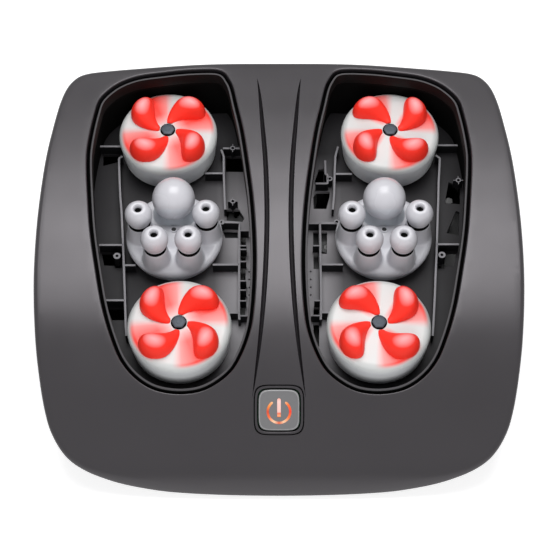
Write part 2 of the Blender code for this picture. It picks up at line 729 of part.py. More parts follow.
def make_idler(name, finish):
    hub = cylinder("hub", HUB_RADIUS, HUB_LOW_Z, HUB_TOP_Z, sides=10)
    made = combine(gear("idler", IDLER_TEETH, GEAR_MODULE, GEAR_LOW_Z, GEAR_TOP_Z), hub, "UNION")
    bore = cylinder("bore", PIN_RADIUS + RUNNING_GAP, HUB_LOW_Z - OVERRUN, HUB_TOP_Z + OVERRUN, sides=8)
    return piece(name, combine(made, bore, "DIFFERENCE"), finish)


def make_worm_wheel(name, side, pinion_turn, finish):
    """A worm wheel in one piece with the pinion under it; its teeth lean as the worm's thread does."""
    lead_angle = math.atan2(WHEEL_MODULE, 2 * WORM_PITCH_RADIUS)
    twist = math.tan(lead_angle) / WHEEL_RADIUS
    wheel_low, wheel_high = WORM_Z - WHEEL_WIDTH / 2, WORM_Z + WHEEL_WIDTH / 2
    wheel = gear("wheel", WHEEL_TEETH, WHEEL_MODULE, wheel_low, wheel_high, twist)
    # The thread's ridge stands at the worm's middle on the right and half a pitch away on the left
    facing = 0.0 if side < 0 else math.pi
    half_tooth = math.pi / WHEEL_TEETH
    wheel.data.transform(Matrix.Rotation(facing + (half_tooth if side > 0 else 0.0), 4, "Z"))
    pinion = gear("pinion", IDLER_TEETH, GEAR_MODULE, GEAR_LOW_Z, WORM_Z)
    pinion.data.transform(Matrix.Rotation(pinion_turn, 4, "Z"))
    hub = cylinder("hub", HUB_RADIUS, HUB_LOW_Z, HUB_TOP_Z, sides=10)
    made = combine(combine(wheel, pinion, "UNION"), hub, "UNION")
    bore = cylinder("bore", PIN_RADIUS + RUNNING_GAP, HUB_LOW_Z - OVERRUN, HUB_TOP_Z + OVERRUN, sides=8)
    made = piece(name, combine(made, bore, "DIFFERENCE"), finish)
    made.location = (side * WHEEL_X, DRIVE_Y, 0)
    return made


def make_worm(finish):
    """A right-hand thread on a shaft along Y, with its ridge in the middle at the right-hand side."""
    lead = math.pi * WHEEL_MODULE
    root = WORM_PITCH_RADIUS - DEDENDUM_SHARE * WHEEL_MODULE
    tip = WORM_PITCH_RADIUS + ADDENDUM_SHARE * WHEEL_MODULE
    inside = root - RUNNING_GAP
    half = (lead / 2 - BACKLASH) / 2
    slope = math.tan(PRESSURE_ANGLE)
    wide = half + (WORM_PITCH_RADIUS - inside) * slope
    narrow = half - (tip - WORM_PITCH_RADIUS) * slope
    mesh = bpy.data.meshes.new("thread")
    profile = [(inside, -wide), (tip, -narrow), (tip, narrow), (inside, wide)]
    start = -lead * WORM_TURNS / 2
    mesh.from_pydata([(r, 0, z + start) for r, z in profile], [(0, 1), (1, 2), (2, 3), (3, 0)], [])
    thread = placed("thread", mesh)
    turn = thread.modifiers.new("Thread", "SCREW")
    turn.angle = 2 * math.pi * WORM_TURNS
    turn.screw_offset = lead * WORM_TURNS
    turn.steps = turn.render_steps = WORM_STEPS_PER_TURN * WORM_TURNS
    turn.use_merge_vertices = False
    thread = solid(thread)
    form = bmesh.new()
    form.from_mesh(thread.data)
    bmesh.ops.holes_fill(form, edges=form.edges[:], sides=4)
    bmesh.ops.recalc_face_normals(form, faces=form.faces[:])
    form.to_mesh(thread.data)
    form.free()
    # An odd number of half turns each way from the middle: the ridge is turned round to the right-hand side
    thread.data.transform(Matrix.Rotation(math.pi * (WORM_TURNS % 2), 4, "Z"))
    body_half = lead * (WORM_TURNS + 1) / 2
    body = cylinder("worm_body", root, -body_half, body_half, sides=10)
    shaft_low, shaft_high = FRONT_BEARING_Y - BEARING_THICKNESS, MOTOR_FRONT_Y + MOTOR_BORE_DEPTH - OVERRUN
    shaft = cylinder("shaft", WORM_SHAFT_RADIUS, shaft_low - DRIVE_Y, shaft_high - DRIVE_Y, sides=8)
    made = solid(combine(combine(body, thread, "UNION"), shaft, "UNION"))
    made.data.transform(Matrix.Rotation(-math.pi / 2, 4, "X"))
    made = piece("worm_shaft", made, finish)
    made.location = (0, DRIVE_Y, WORM_Z)
    return made


# Discs and what stands on them


def disc_top(radius):
    """Height of a heated disc's low cone over its rim plane."""
    return DISC_DOME * (1 - min(radius / HEATED_RADIUS, 1.0))


def make_heated_disc(finish):
    """A shallow drum on a hub: a low conical top with a hole, and a tapered skirt."""
    bore = SPINDLE_RADIUS + RUNNING_GAP
    bottom = HEATED_RIM_Z - HEATED_DEPTH
    crest = HEATED_RADIUS - DISC_CHAMFER
    foot = HEATED_RADIUS - SKIRT_DRAFT
    hub_low = PEDESTAL_TOP_Z + HEAT_RING_HEIGHT + 2 * RUNNING_GAP
    profile = [
        (bore, HEATED_RIM_Z + disc_top(bore)), (crest, HEATED_RIM_Z + disc_top(crest)),
        (HEATED_RADIUS, HEATED_RIM_Z - DISC_CHAMFER), (foot, bottom), (foot - SHELL, bottom),
        (HEATED_RADIUS - SHELL - DISC_CHAMFER, HEATED_RIM_Z - SHELL - DISC_CHAMFER),
        (DISC_HUB_RADIUS, HEATED_RIM_Z - SHELL), (DISC_HUB_RADIUS, hub_low), (bore, hub_low),
    ]
    return piece("left_rear_heated_disc", turned("heated_disc", profile, DISC_STEPS), finish)


def node_lobe(start_angle):
    """One teardrop of the massage nodes, swept from the hub out to its round end."""
    rows = []
    length = NODE_END_RADIUS - NODE_START_RADIUS
    for along_share, width_share, height_share in NODE_FORM_SHARES:
        reach = NODE_START_RADIUS + along_share * length
        angle = start_angle + NODE_SWEEP * (1 - along_share) ** 2
        centre = Vector((reach * math.cos(angle), reach * math.sin(angle)))
        across = Vector((-math.sin(angle), math.cos(angle))) * NODE_HALF_WIDTH * width_share
        row = []
        for step in range(NODE_ARC_STEPS + 1):
            turn = math.pi * step / NODE_ARC_STEPS
            place = centre + across * math.cos(turn)
            floor = disc_top(min(place.length, HEATED_RADIUS)) + GAP
            row.append((place.x, place.y, HEATED_RIM_Z + floor + NODE_HEIGHT * height_share * math.sin(turn)))
        middle = disc_top(centre.length) + GAP
        row.append((centre.x, centre.y, HEATED_RIM_Z + middle))
        rows.append(row)
    form = bmesh.new()
    levels = [[form.verts.new(place) for place in row] for row in rows]
    for near, far in zip(levels, levels[1:]):
        for k in range(len(near)):
            following = (k + 1) % len(near)
            form.faces.new((near[k], near[following], far[following], far[k]))
    form.faces.new(levels[0])
    form.faces.new(levels[-1])
    return from_bmesh("lobe", form)


def make_nodes(finish):
    """Four teardrops joined by a ring round the disc's hole."""
    low = HEATED_RIM_Z + disc_top(NODE_RING_RADIUS) + GAP
    loops = [circle(NODE_RING_RADIUS, 12), circle(SPINDLE_RADIUS + RUNNING_GAP, 12)]
    ring = prism("node_ring", loops, low, low + NODE_RING_HEIGHT)
    for angle in NODE_ANGLES:
        ring = combine(ring, node_lobe(angle), "UNION")
    return piece("left_rear_nodes", ring, finish)


def make_dish(finish):
    """The middle disc: a drum with a raised hub, a neck for the large ball and a post and pin for each knob."""
    bore = SPINDLE_RADIUS + RUNNING_GAP
    hub_top = DISH_FLOOR_Z + DISH_HUB_RISE
    floor = DISH_FLOOR_Z
    bottom = DISH_FLOOR_Z - DISH_DEPTH
    foot = DISH_RADIUS - SKIRT_DRAFT
    spread = DISH_RADIUS - 2 * SHELL
    bore_top = hub_top - SHELL
    profile = [
        (0, hub_top), (DISC_HUB_RADIUS, hub_top), (DISH_RADIUS / 2, floor), (DISH_RADIUS - DISH_SHOULDER, floor),
        (DISH_RADIUS, floor - DISH_SHOULDER), (foot, bottom),
        (foot - SHELL, bottom), (spread - SHELL, floor - SHELL), (DISC_HUB_RADIUS, floor - SHELL),
        (DISC_HUB_RADIUS, PEDESTAL_TOP_Z + RUNNING_GAP), (bore, PEDESTAL_TOP_Z + RUNNING_GAP),
        (bore, bore_top), (0, bore_top),
    ]
    dish = turned("dish_drum", profile, DISC_STEPS)
    low = floor - SHELL / 2
    ball_low = ball_bottom()
    uprights = [cylinder("neck", NECK_FOOT_RADIUS, low, ball_low - GAP, (0, BALL_OFFSET), 12, NECK_RADIUS)]
    for x, y in knob_places():
        post = cylinder("post", KNOB_POST_FOOT_RADIUS, low, KNOB_POST_TOP_Z, (x, y), 12, KNOB_FOOT_RADIUS)
        pin = cylinder("pin", KNOB_PIN_RADIUS, KNOB_POST_TOP_Z - SHELL, KNOB_Z, (x, y), 8)
        uprights.append(solid(combine(post, pin, "UNION")))
    for upright in uprights:
        dish = combine(dish, upright, "UNION")
    return piece("left_mid_dish", dish, finish)


def ball_bottom():
    """Height of the flat on which the large ball sits."""
    return BALL_Z - math.sqrt(BALL_RADIUS**2 - BALL_FLAT_RADIUS**2)


def knob_places():
    return [(KNOB_OFFSET * math.cos(a), KNOB_OFFSET * math.sin(a)) for a in KNOB_ANGLES]


def make_ball(finish):
    """The large ball, flattened where it sits on its neck."""
    low = math.asin((ball_bottom() - BALL_Z) / BALL_RADIUS)
    profile = []
    for k in range(BALL_RINGS + 1):
        angle = math.pi / 2 + (low - math.pi / 2) * k / BALL_RINGS
        radius = 0 if k == 0 else BALL_RADIUS * math.cos(angle)
        profile.append((radius, BALL_Z + BALL_RADIUS * math.sin(angle)))
    return piece("left_big_ball", turned("ball", profile + [(0, ball_bottom())], BALL_STEPS), finish)


def make_knob(finish):
    """A small round knob with a collar under it and a bore for its pin."""
    bore = KNOB_PIN_RADIUS + RUNNING_GAP
    profile = [(bore, KNOB_Z + KNOB_TOP_RISE - SMALL_CHAMFER)]
    for angle in KNOB_LATITUDES:
        profile.append((KNOB_RADIUS * math.cos(angle), KNOB_Z + KNOB_RADIUS * math.sin(angle)))
    low = KNOB_POST_TOP_Z + RUNNING_GAP
    profile += [(KNOB_FOOT_RADIUS, low), (bore, low)]
    return piece("left_knob_1", turned("knob", profile, KNOB_STEPS), finish)


# Motor, bearings, button and small pieces


def make_motor(finish):
    can = cylinder_along_y("can", MOTOR_RADIUS, MOTOR_FRONT_Y, MOTOR_FRONT_Y + MOTOR_LENGTH, WORM_Z, 20)
    rear = MOTOR_FRONT_Y + MOTOR_LENGTH + MOTOR_END_LENGTH
    end = cylinder_along_y("end", MOTOR_END_RADIUS, MOTOR_FRONT_Y + MOTOR_END_LENGTH, rear, WORM_Z, 16)
    bore = cylinder_along_y("bore", WORM_SHAFT_RADIUS + RUNNING_GAP, MOTOR_FRONT_Y - OVERRUN,
                            MOTOR_FRONT_Y + MOTOR_BORE_DEPTH, WORM_Z, 12)
    return piece("motor_can", combine(combine(can, end, "UNION"), bore, "DIFFERENCE"), finish)


def make_motor_bracket(finish):
    middle = MOTOR_FRONT_Y + MOTOR_LENGTH / 2
    low, high = middle - BRACKET_LENGTH / 2, middle + BRACKET_LENGTH / 2
    cradle = box("cradle", (-BRACKET_HALF_WIDTH, low, PAN_TOP + GAP), (BRACKET_HALF_WIDTH, high, WORM_Z))
    cut = cylinder_along_y("cut", MOTOR_RADIUS + 2 * GAP, low - OVERRUN, high + OVERRUN, WORM_Z, 20)
    return piece("motor_bracket", combine(cradle, cut, "DIFFERENCE"), finish)


def make_bearing(name, y, finish):
    low, high = y - BEARING_THICKNESS / 2, y + BEARING_THICKNESS / 2
    block = box("block", (-BEARING_HALF_WIDTH, low, PAN_TOP + GAP),
                (BEARING_HALF_WIDTH, high, WORM_Z + BEARING_TOP_RISE))
    bore_radius = WORM_SHAFT_RADIUS + RUNNING_GAP
    bore = cylinder_along_y("bore", bore_radius, low - OVERRUN, high + OVERRUN, WORM_Z, 12)
    return piece(name, combine(block, bore, "DIFFERENCE"), finish)


def make_bezel(finish):
    loops = [squircle(BEZEL_SIZE), squircle(BUTTON_SIZE + 2 * RUNNING_GAP)]
    return piece("power_bezel", on_slope(prism("bezel", loops, -BEZEL_DEPTH, BEZEL_RISE)), finish)


def make_button(finish):
    """The button's cap and stem, with its origin where its travel starts."""
    cap = prism("cap", [squircle(BUTTON_SIZE)], BUTTON_RISE - BUTTON_THICKNESS, BUTTON_RISE)
    stem_low = BUTTON_RISE - BUTTON_THICKNESS - BUTTON_STEM_LENGTH
    stem = cylinder("stem", BUTTON_STEM_RADIUS, stem_low, BUTTON_RISE - BUTTON_THICKNESS / 2)
    made = piece("power_button", combine(cap, stem, "UNION"), finish)
    made.location = (0, BUTTON_Y, arch_height(BUTTON_Y))
    made.rotation_euler.x = arch_tilt(BUTTON_Y)
    return made


def make_board(finish):
    top = -BEZEL_DEPTH - GAP
    low = (-BOARD_WIDTH / 2, -BOARD_LENGTH / 2, top - BOARD_THICKNESS)
    board = box("board", low, (BOARD_WIDTH / 2, BOARD_LENGTH / 2, top))
    switch_top = BUTTON_RISE - BUTTON_THICKNESS - BUTTON_STEM_LENGTH - BUTTON_TRAVEL - GAP
    half = SWITCH_SIZE / 2
    switch = box("switch", (-half, -half, top - BOARD_THICKNESS / 2), (half, half, switch_top))
    return piece("control_board", on_slope(solid(combine(board, switch, "UNION"))), finish)


def make_inlet(finish):
    rear = INLET_FRONT_Y + INLET_LENGTH
    barrel = cylinder_along_y("barrel", INLET_RADIUS, INLET_FRONT_Y, rear, INLET_Z, 16)
    bore = cylinder_along_y("bore", INLET_BORE, rear - INLET_BORE_DEPTH, rear + OVERRUN, INLET_Z, 12)
    return piece("dc_inlet", combine(barrel, bore, "DIFFERENCE"), finish)


def make_feet(finish):
    x = HALF_WIDTH - FOOT_SIDE_MARGIN
    front, rear = FOOT_FRONT_MARGIN - HALF_DEPTH, HALF_DEPTH - FOOT_REAR_MARGIN
    foot = cylinder("foot", FOOT_SOLE_RADIUS, 0, FOOT_HEIGHT - GAP, sides=14, top_radius=FOOT_RADIUS)
    foot = piece("foot_front_left", foot, finish)
    foot.location = (-x, front, 0)
    copy_of("foot_front_right", foot, place=(x, front, 0))
    copy_of("foot_rear_left", foot, place=(-x, rear, 0))
    copy_of("foot_rear_right", foot, place=(x, rear, 0))


def make_heat_ring(finish):
    low = PEDESTAL_TOP_Z + GAP
    loops = [circle(HEAT_RING_RADIUS, DISC_STEPS), circle(HEAT_RING_BORE, 12)]
    return piece("left_rear_heat_ring", prism("heat_ring", loops, low, low + HEAT_RING_HEIGHT), finish)


def stand_discs(foot, side, originals):
    """Puts one foot's discs, balls, knobs and gears on its line of spindles, in mesh with each other."""
    hand = "left" if side < 0 else "right"
    line = -side * TOE_OUT
    pitch = math.pi * GEAR_MODULE
    middle_turn = 0.0
    idler_turn = meshing_turn(middle_turn, DISC_GEAR_RADIUS, IDLER_RADIUS, math.pi / 2, pitch)
    rear_turn = meshing_turn(idler_turn, IDLER_RADIUS, DISC_GEAR_RADIUS, math.pi / 2, pitch)
    front_idler_turn = meshing_turn(middle_turn, DISC_GEAR_RADIUS, IDLER_RADIUS, -math.pi / 2, pitch)
    front_turn = meshing_turn(front_idler_turn, IDLER_RADIUS, DISC_GEAR_RADIUS, -math.pi / 2, pitch)
    rows = (("rear", DISC_SPACING, rear_turn), ("front", -DISC_SPACING, front_turn))
    for row, distance, turn in rows:
        place = (0, distance, 0)
        copy_of(f"{hand}_{row}_spindle_gear", originals["tall_spindle"], foot, place, turn)
        copy_of(f"{hand}_{row}_heated_disc", originals["heated_disc"], foot, place, -line)
        copy_of(f"{hand}_{row}_nodes", originals[hand + "_nodes"], foot, place, -line)
        copy_of(f"{hand}_{row}_heat_ring", originals["heat_ring"], foot, place)
    idlers = (("rear", DISC_SPACING / 2, idler_turn), ("front", -DISC_SPACING / 2, front_idler_turn))
    for row, distance, turn in idlers:
        copy_of(f"{hand}_{row}_idler", originals["idler"], foot, (0, distance, 0), turn)
    copy_of(f"{hand}_mid_spindle_gear", originals["short_spindle"], foot, turn=middle_turn)
    copy_of(f"{hand}_mid_dish", originals["dish"], foot, turn=-line)
    ball = empty(f"{hand}_dish_centre", (0, 0, 0), -line)
    ball.parent = foot
    copy_of(f"{hand}_big_ball", originals["ball"], ball, (0, BALL_OFFSET, 0))
    for number, (x, y) in enumerate(knob_places(), start=1):
        copy_of(f"{hand}_knob_{number}", originals["knob"], ball, (x, y, 0))


def main():
    for obj in list(bpy.data.objects):
        bpy.data.objects.remove(obj)
    for collection in (PARTS, CONSTRUCTION):
        bpy.context.scene.collection.children.link(collection)

    casing = material("graphite_casing", (0.115, 0.115, 0.12), 0.38)
    inner_plastic = material("black_plastic", (0.022, 0.022, 0.024), 0.45)
    disc_plastic = material("pale_disc_plastic", (0.66, 0.69, 0.70), 0.35)
    knob_plastic = material("light_grey_plastic", (0.70, 0.70, 0.74), 0.32)
    node_plastic = material("red_node_plastic", (0.95, 0.06, 0.035), 0.25)
    gear_plastic = material("acetal_gears", (0.10, 0.10, 0.105), 0.4)
    steel = material("steel", (0.60, 0.60, 0.62), 0.3, 1.0)
    rubber = material("rubber", (0.03, 0.03, 0.03), 0.85)
    button_plastic = material("button_plastic", (0.21, 0.21, 0.21), 0.35)
    board_green = material("board", (0.03, 0.16, 0.07), 0.5)
    heater = material("heat_ring", (0.75, 0.28, 0.12), 0.5)

    make_top_cover(casing)
    mirrored("right_well_frame", make_well_frame(inner_plastic))
    make_base_pan(inner_plastic)
    mirrored("right_well_wall", make_well_wall(inner_plastic))
    mirrored("right_chassis", make_tray(inner_plastic))
    make_motor(steel)
    make_motor_bracket(inner_plastic)
    make_bearing("worm_bearing_front", FRONT_BEARING_Y, gear_plastic)
    make_bearing("worm_bearing_rear", REAR_BEARING_Y, gear_plastic)
    make_worm(gear_plastic)
    make_bezel(inner_plastic)
    make_button(button_plastic)
    make_board(board_green)
    make_inlet(inner_plastic)
    make_feet(rubber)

    pitch = math.pi * GEAR_MODULE
    # Each pinion meshes with the middle disc gear, which lies straight outwards from it
    for side, hand in ((-1, "left"), (1, "right")):
        inwards = math.pi if side > 0 else 0.0
        middle_turn = -side * TOE_OUT
        turn = meshing_turn(middle_turn, DISC_GEAR_RADIUS, IDLER_RADIUS, inwards, pitch)
        make_worm_wheel(f"{hand}_worm_wheel", side, turn, gear_plastic)

    spindle_top = HEATED_RIM_Z + SPINDLE_ABOVE_RIM
    dish_spindle_top = DISH_FLOOR_Z + DISH_HUB_RISE - SHELL - GAP
    left_nodes = make_nodes(node_plastic)
    originals = {
        "tall_spindle": make_spindle_gear("tall_spindle", spindle_top, gear_plastic),
        "short_spindle": make_spindle_gear("short_spindle", dish_spindle_top, gear_plastic),
        "heated_disc": make_heated_disc(disc_plastic),
        "left_nodes": left_nodes,
        "right_nodes": mirrored("mirrored_nodes", left_nodes),
        "heat_ring": make_heat_ring(heater),
        "idler": make_idler("idler", gear_plastic),
        "dish": make_dish(disc_plastic),
        "ball": make_ball(knob_plastic),
        "knob": make_knob(knob_plastic),
    }
    for key, obj in originals.items():
        obj.name = "original_" + key
    for side, hand in ((-1, "left"), (1, "right")):
        foot = empty(f"{hand}_foot", (side * MIDDLE_X, DRIVE_Y, 0), -side * TOE_OUT)
        stand_discs(foot, side, originals)
    for obj in originals.values():
        bpy.data.objects.remove(obj)


main()
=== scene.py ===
"""Shiatsu foot massager: an arched graphite casing, two foot wells, six turning massage discs and a power button."""

import math

import bmesh
import bpy
import numpy as np
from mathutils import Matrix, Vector
from mathutils.geometry import delaunay_2d_cdt


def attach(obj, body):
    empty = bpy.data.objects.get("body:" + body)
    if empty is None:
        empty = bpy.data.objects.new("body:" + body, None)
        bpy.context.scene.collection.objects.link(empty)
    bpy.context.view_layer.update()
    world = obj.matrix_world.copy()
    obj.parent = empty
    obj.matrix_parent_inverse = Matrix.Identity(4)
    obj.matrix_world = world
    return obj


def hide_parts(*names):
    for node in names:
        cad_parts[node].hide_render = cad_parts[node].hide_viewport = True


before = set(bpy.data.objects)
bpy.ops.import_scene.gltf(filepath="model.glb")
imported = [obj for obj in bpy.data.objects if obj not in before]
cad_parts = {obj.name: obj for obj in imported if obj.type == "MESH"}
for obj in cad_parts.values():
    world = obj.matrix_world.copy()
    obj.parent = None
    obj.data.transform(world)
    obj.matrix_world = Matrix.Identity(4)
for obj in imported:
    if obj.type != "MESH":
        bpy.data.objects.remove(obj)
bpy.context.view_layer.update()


# ---- Studio: a pale sheet under the massager, one wide soft lamp over its rear half, a weak one low in front, and
# a camera that looks down on it from the side of the button.

scene = bpy.context.scene
scene.view_settings.view_transform = "Standard"


def wire(tree, kind, sockets=None, **settings):
    """One shader or geometry node with its settings, its values and what feeds it."""
    made = tree.nodes.new(kind)
    for name, value in settings.items():
        setattr(made, name, value)
    for key, value in (sockets or {}).items():
        if isinstance(value, bpy.types.NodeSocket):
            tree.links.new(value, made.inputs[key])
        else:
            made.inputs[key].default_value = value
    return made


def fed(tree, kind, sockets=None, **settings):
    """The first output of a new node."""
    return wire(tree, kind, sockets, **settings).outputs[0]


def calc(tree, operation, first, second=0.0):
    """What a math node makes of one or two values."""
    return fed(tree, "ShaderNodeMath", {0: first, 1: second}, operation=operation)


def mixed(tree, share, first, second):
    """The colour that a mix node makes of two."""
    return wire(tree, "ShaderNodeMix", {0: share, 6: first, 7: second}, data_type="RGBA").outputs[2]


def seen_directly(tree):
    """1 for rays that show the backdrop itself: from the camera, off a gloss or through glass."""
    rays = wire(tree, "ShaderNodeLightPath").outputs
    mirrored = calc(tree, "MAXIMUM", rays["Is Camera Ray"], rays["Is Glossy Ray"])
    return calc(tree, "MAXIMUM", mirrored, rays["Is Transmission Ray"])


def placed(name, data):
    """A new object in the scene."""
    made = bpy.data.objects.new(name, data)
    scene.collection.objects.link(made)
    return made


BACKDROP_WHITE = (1.0, 1.0, 1.0, 1.0)
ROOM_GREY = (0.22, 0.22, 0.225, 1.0)
world = bpy.data.worlds.new("studio_room")
scene.world = world
world.use_nodes = True
room = world.node_tree
room.nodes.clear()
room_colour = mixed(room, seen_directly(room), ROOM_GREY, BACKDROP_WHITE)
room_light = fed(room, "ShaderNodeBackground", {"Color": room_colour, "Strength": 1.0})
wire(room, "ShaderNodeOutputWorld", {"Surface": room_light})

SHEET_SIZE = 8.0
SHEET_COLOUR = (0.80, 0.80, 0.80, 1.0)
SHEET_GLOW = 0.56
sheet_mesh = bpy.data.meshes.new("studio_sheet")
reach = SHEET_SIZE / 2
sheet_mesh.from_pydata([(-reach, -reach, 0), (reach, -reach, 0), (reach, reach, 0), (-reach, reach, 0)], [],
                       [(0, 1, 2, 3)])
sheet_paper = bpy.data.materials.new("studio_paper")
sheet_paper.use_nodes = True
paper = sheet_paper.node_tree
paper.nodes.clear()
paper_body = fed(paper, "ShaderNodeBsdfDiffuse", {"Color": SHEET_COLOUR})
paper_glow = calc(paper, "MULTIPLY", seen_directly(paper), SHEET_GLOW)
paper_light = fed(paper, "ShaderNodeEmission", {"Color": BACKDROP_WHITE, "Strength": paper_glow})
paper_sum = fed(paper, "ShaderNodeAddShader", {0: paper_body, 1: paper_light})
wire(paper, "ShaderNodeOutputMaterial", {"Surface": paper_sum})
sheet_mesh.materials.append(sheet_paper)
placed("studio_sheet", sheet_mesh)

# Each lamp: place, aim, width, depth, power
LAMPS = {
    "softbox": ((0.0, 0.400, 1.30), (0.0, 0.0, 0.10), 0.94, 0.88, 15.6),
    "front_fill": ((0.0, -1.10, 0.75), (0.0, 0.0, 0.05), 1.0, 0.6, 8.4),
}
for name, (place, aim, width, depth, power) in LAMPS.items():
    lamp_light = bpy.data.lights.new(name, "AREA")
    lamp_light.shape = "RECTANGLE"
    lamp_light.size = width
    lamp_light.size_y = depth
    lamp_light.energy = power
    lamp = placed(name, lamp_light)
    lamp.location = place
    lamp.visible_glossy = name == "softbox"
    lamp.rotation_euler = (Vector(aim) - Vector(place)).to_track_quat("-Z", "Y").to_euler()

CAMERA_PLACE = (0.0, -0.7165, 1.244)
CAMERA_TILT = math.radians(30.8)
CAMERA_SENSOR = 36.0
FOCAL_PIXELS = 1680.0
PICTURE_PIXELS = 550.0
CAMERA_SHIFT_PIXELS = -4.0
camera_data = bpy.data.cameras.new("camera")
camera_data.sensor_width = CAMERA_SENSOR
camera_data.lens = CAMERA_SENSOR * FOCAL_PIXELS / PICTURE_PIXELS
camera_data.shift_x = CAMERA_SHIFT_PIXELS / PICTURE_PIXELS
camera = placed("camera", camera_data)
camera.location = CAMERA_PLACE
camera.rotation_euler = (CAMERA_TILT, 0.0, 0.0)
scene.camera = camera


# ---- Top cover: one injection-moulded shell of graphite ABS with a fine satin texture. It arches from front to
# rear, opens into the two foot wells with a short lip, and carries two slits beside its spine. Four screws pull
# it down onto the columns of the base pan.

HALF_WIDTH = 0.1965
HALF_DEPTH = 0.1826
CASE_HEIGHT = 0.1
FOOT_HEIGHT = 0.005
EDGE_ROUND_IN = 0.0038
EDGE_ROUND_DOWN = 0.0030
BASE_TUCK = 0.014
TUCK_SLOPE_SHARE = 0.62
COVER_SKIN = 0.0016
CASE_OUTLINE_SHARES = (
    (0.0, 1.0), (0.214, 0.999), (0.346, 0.994), (0.478, 0.983), (0.611, 0.969), (0.738, 0.954),
    (0.835, 0.937), (0.872, 0.919), (0.900, 0.888), (0.922, 0.845), (0.943, 0.766), (0.967, 0.601),
    (0.984, 0.441), (0.996, 0.214), (1.0, 0.0), (0.997, -0.197), (0.986, -0.382), (0.971, -0.530),
    (0.940, -0.714), (0.912, -0.801), (0.857, -0.882), (0.790, -0.926), (0.679, -0.961),
    (0.518, -0.984), (0.360, -0.994), (0.0, -1.0),
)
ARCH_SHARES = np.array((
    (-1.0, 0.08), (-0.96, 0.22), (-0.905, 0.33), (-0.82, 0.44), (-0.66, 0.62), (-0.44, 0.80),
    (-0.22, 0.91), (0.05, 0.98), (0.33, 0.995), (0.66, 0.98), (1.0, 0.94),
)) * (HALF_DEPTH, CASE_HEIGHT)
WELL_WIDTH = 0.141
WELL_LENGTH = 0.2946
WELL_INNER_X = 0.0184
WELL_FRONT_Y = -0.1204
WELL_SHARES = (
    (0.245, 1.0), (0.410, 1.0), (0.571, 0.990), (0.732, 0.975), (0.828, 0.953), (0.889, 0.928),
    (0.949, 0.888), (0.974, 0.833), (1.0, 0.714), (0.998, 0.658), (0.976, 0.541), (0.952, 0.439),
    (0.911, 0.325), (0.865, 0.218), (0.812, 0.138), (0.755, 0.080), (0.677, 0.039), (0.574, 0.011),
    (0.438, 0.0), (0.310, 0.006), (0.216, 0.025), (0.130, 0.057), (0.071, 0.103), (0.028, 0.161),
    (0.011, 0.218), (0.0, 0.320), (0.004, 0.429), (0.020, 0.541), (0.048, 0.658), (0.084, 0.781),
    (0.120, 0.868), (0.150, 0.938), (0.171, 0.964), (0.204, 0.990),
)
LIP_ROUND = 0.0013
LIP_DEPTHS = (0.003, 0.006, 0.012)
LIP_STEPS = 5
EDGE_STEPS = 6
SIDE_SHARES = np.linspace(0.04, 0.97, 24)
FOOT_EDGE = 0.0001
CURVE_STEP = 0.0020
CURVE_SAMPLES = 16
ROW_STEP = 0.0030
COLUMN_STEP = 0.0050
SLIT_HALF_WIDTH = 0.0022
SLIT_DEPTH = 0.0085
SLIT_SHARES = np.array((
    (1.02, 0.90, 0.0), (0.97, 0.87, 0.25), (0.87, 0.78, 0.62), (0.74, 0.60, 0.9), (0.60, 0.42, 1.0),
    (0.52, 0.16, 1.0), (0.54, -0.02, 1.0), (0.60, -0.18, 1.0), (0.70, -0.33, 0.9), (0.84, -0.47, 0.7),
    (0.98, -0.57, 0.45), (1.09, -0.645, 0.2), (1.14, -0.675, 0.0),
))
# From the middle of a slit to its side: share of its half width, share of its depth
SLIT_HALF = ((0.0, 1.0), (0.35, 0.96), (0.60, 0.75), (0.72, 0.40), (0.80, 0.10), (0.90, 0.02), (0.95, 0.001),
             (1.0, 0.0))
SLIT_SECTION = [(-share, depth) for share, depth in SLIT_HALF[:0:-1]] + list(SLIT_HALF)
BUTTON_Y = -0.1316
BUTTON_TILT = math.radians(31.05)
BEZEL_SIZE = 0.039
BEZEL_GAP = 0.0003
SQUIRCLE_EXPONENT = 5.0
SQUIRCLE_STEPS = 96
INLET_Z = 0.025
INLET_HOLE = 0.0075
SLIT_STEPS = 110
SLIT_SMOOTHING = 9
SLIT_FADE = 0.7
FOOT_TURN_IN = 0.0006
BEZEL_LIP = 0.0005
BEZEL_HOLE_DEPTH = 0.004
SHEET_CLEARANCE = 0.0016
SAME_POINT = 1e-6
SLIVER = 1e-5
SHARP_ANGLE = math.radians(38)
FEET = ((-1, "left"), (1, "right"))
CLOUD_SCALE = 21.0
CLOUD_DETAIL = 3.0
FLECK_DETAIL = 2.0
FLECK_SHARE = 0.35
WORN_FROM = 0.3
WORN_TO = 0.7


def arch_height(y):
    """Height of the casing's top at distances from its middle, along one smooth curve."""
    y = np.clip(np.asarray(y, float), ARCH_SHARES[0, 0], ARCH_SHARES[-1, 0])
    run, rise = np.diff(ARCH_SHARES[:, 0]), np.diff(ARCH_SHARES[:, 1])
    slope = rise / run
    bend = np.concatenate(([slope[0]], (slope[:-1] * run[1:] + slope[1:] * run[:-1]) / (run[1:] + run[:-1]),
                           [slope[-1]]))
    i = np.clip(np.searchsorted(ARCH_SHARES[:, 0], y, side="right") - 1, 0, len(run) - 1)
    t = (y - ARCH_SHARES[i, 0]) / run[i]
    return (ARCH_SHARES[i, 1] * (2 * t**3 - 3 * t**2 + 1) + bend[i] * run[i] * (t**3 - 2 * t**2 + t)
            + ARCH_SHARES[i + 1, 1] * (3 * t**2 - 2 * t**3) + bend[i + 1] * run[i] * (t**3 - t**2))


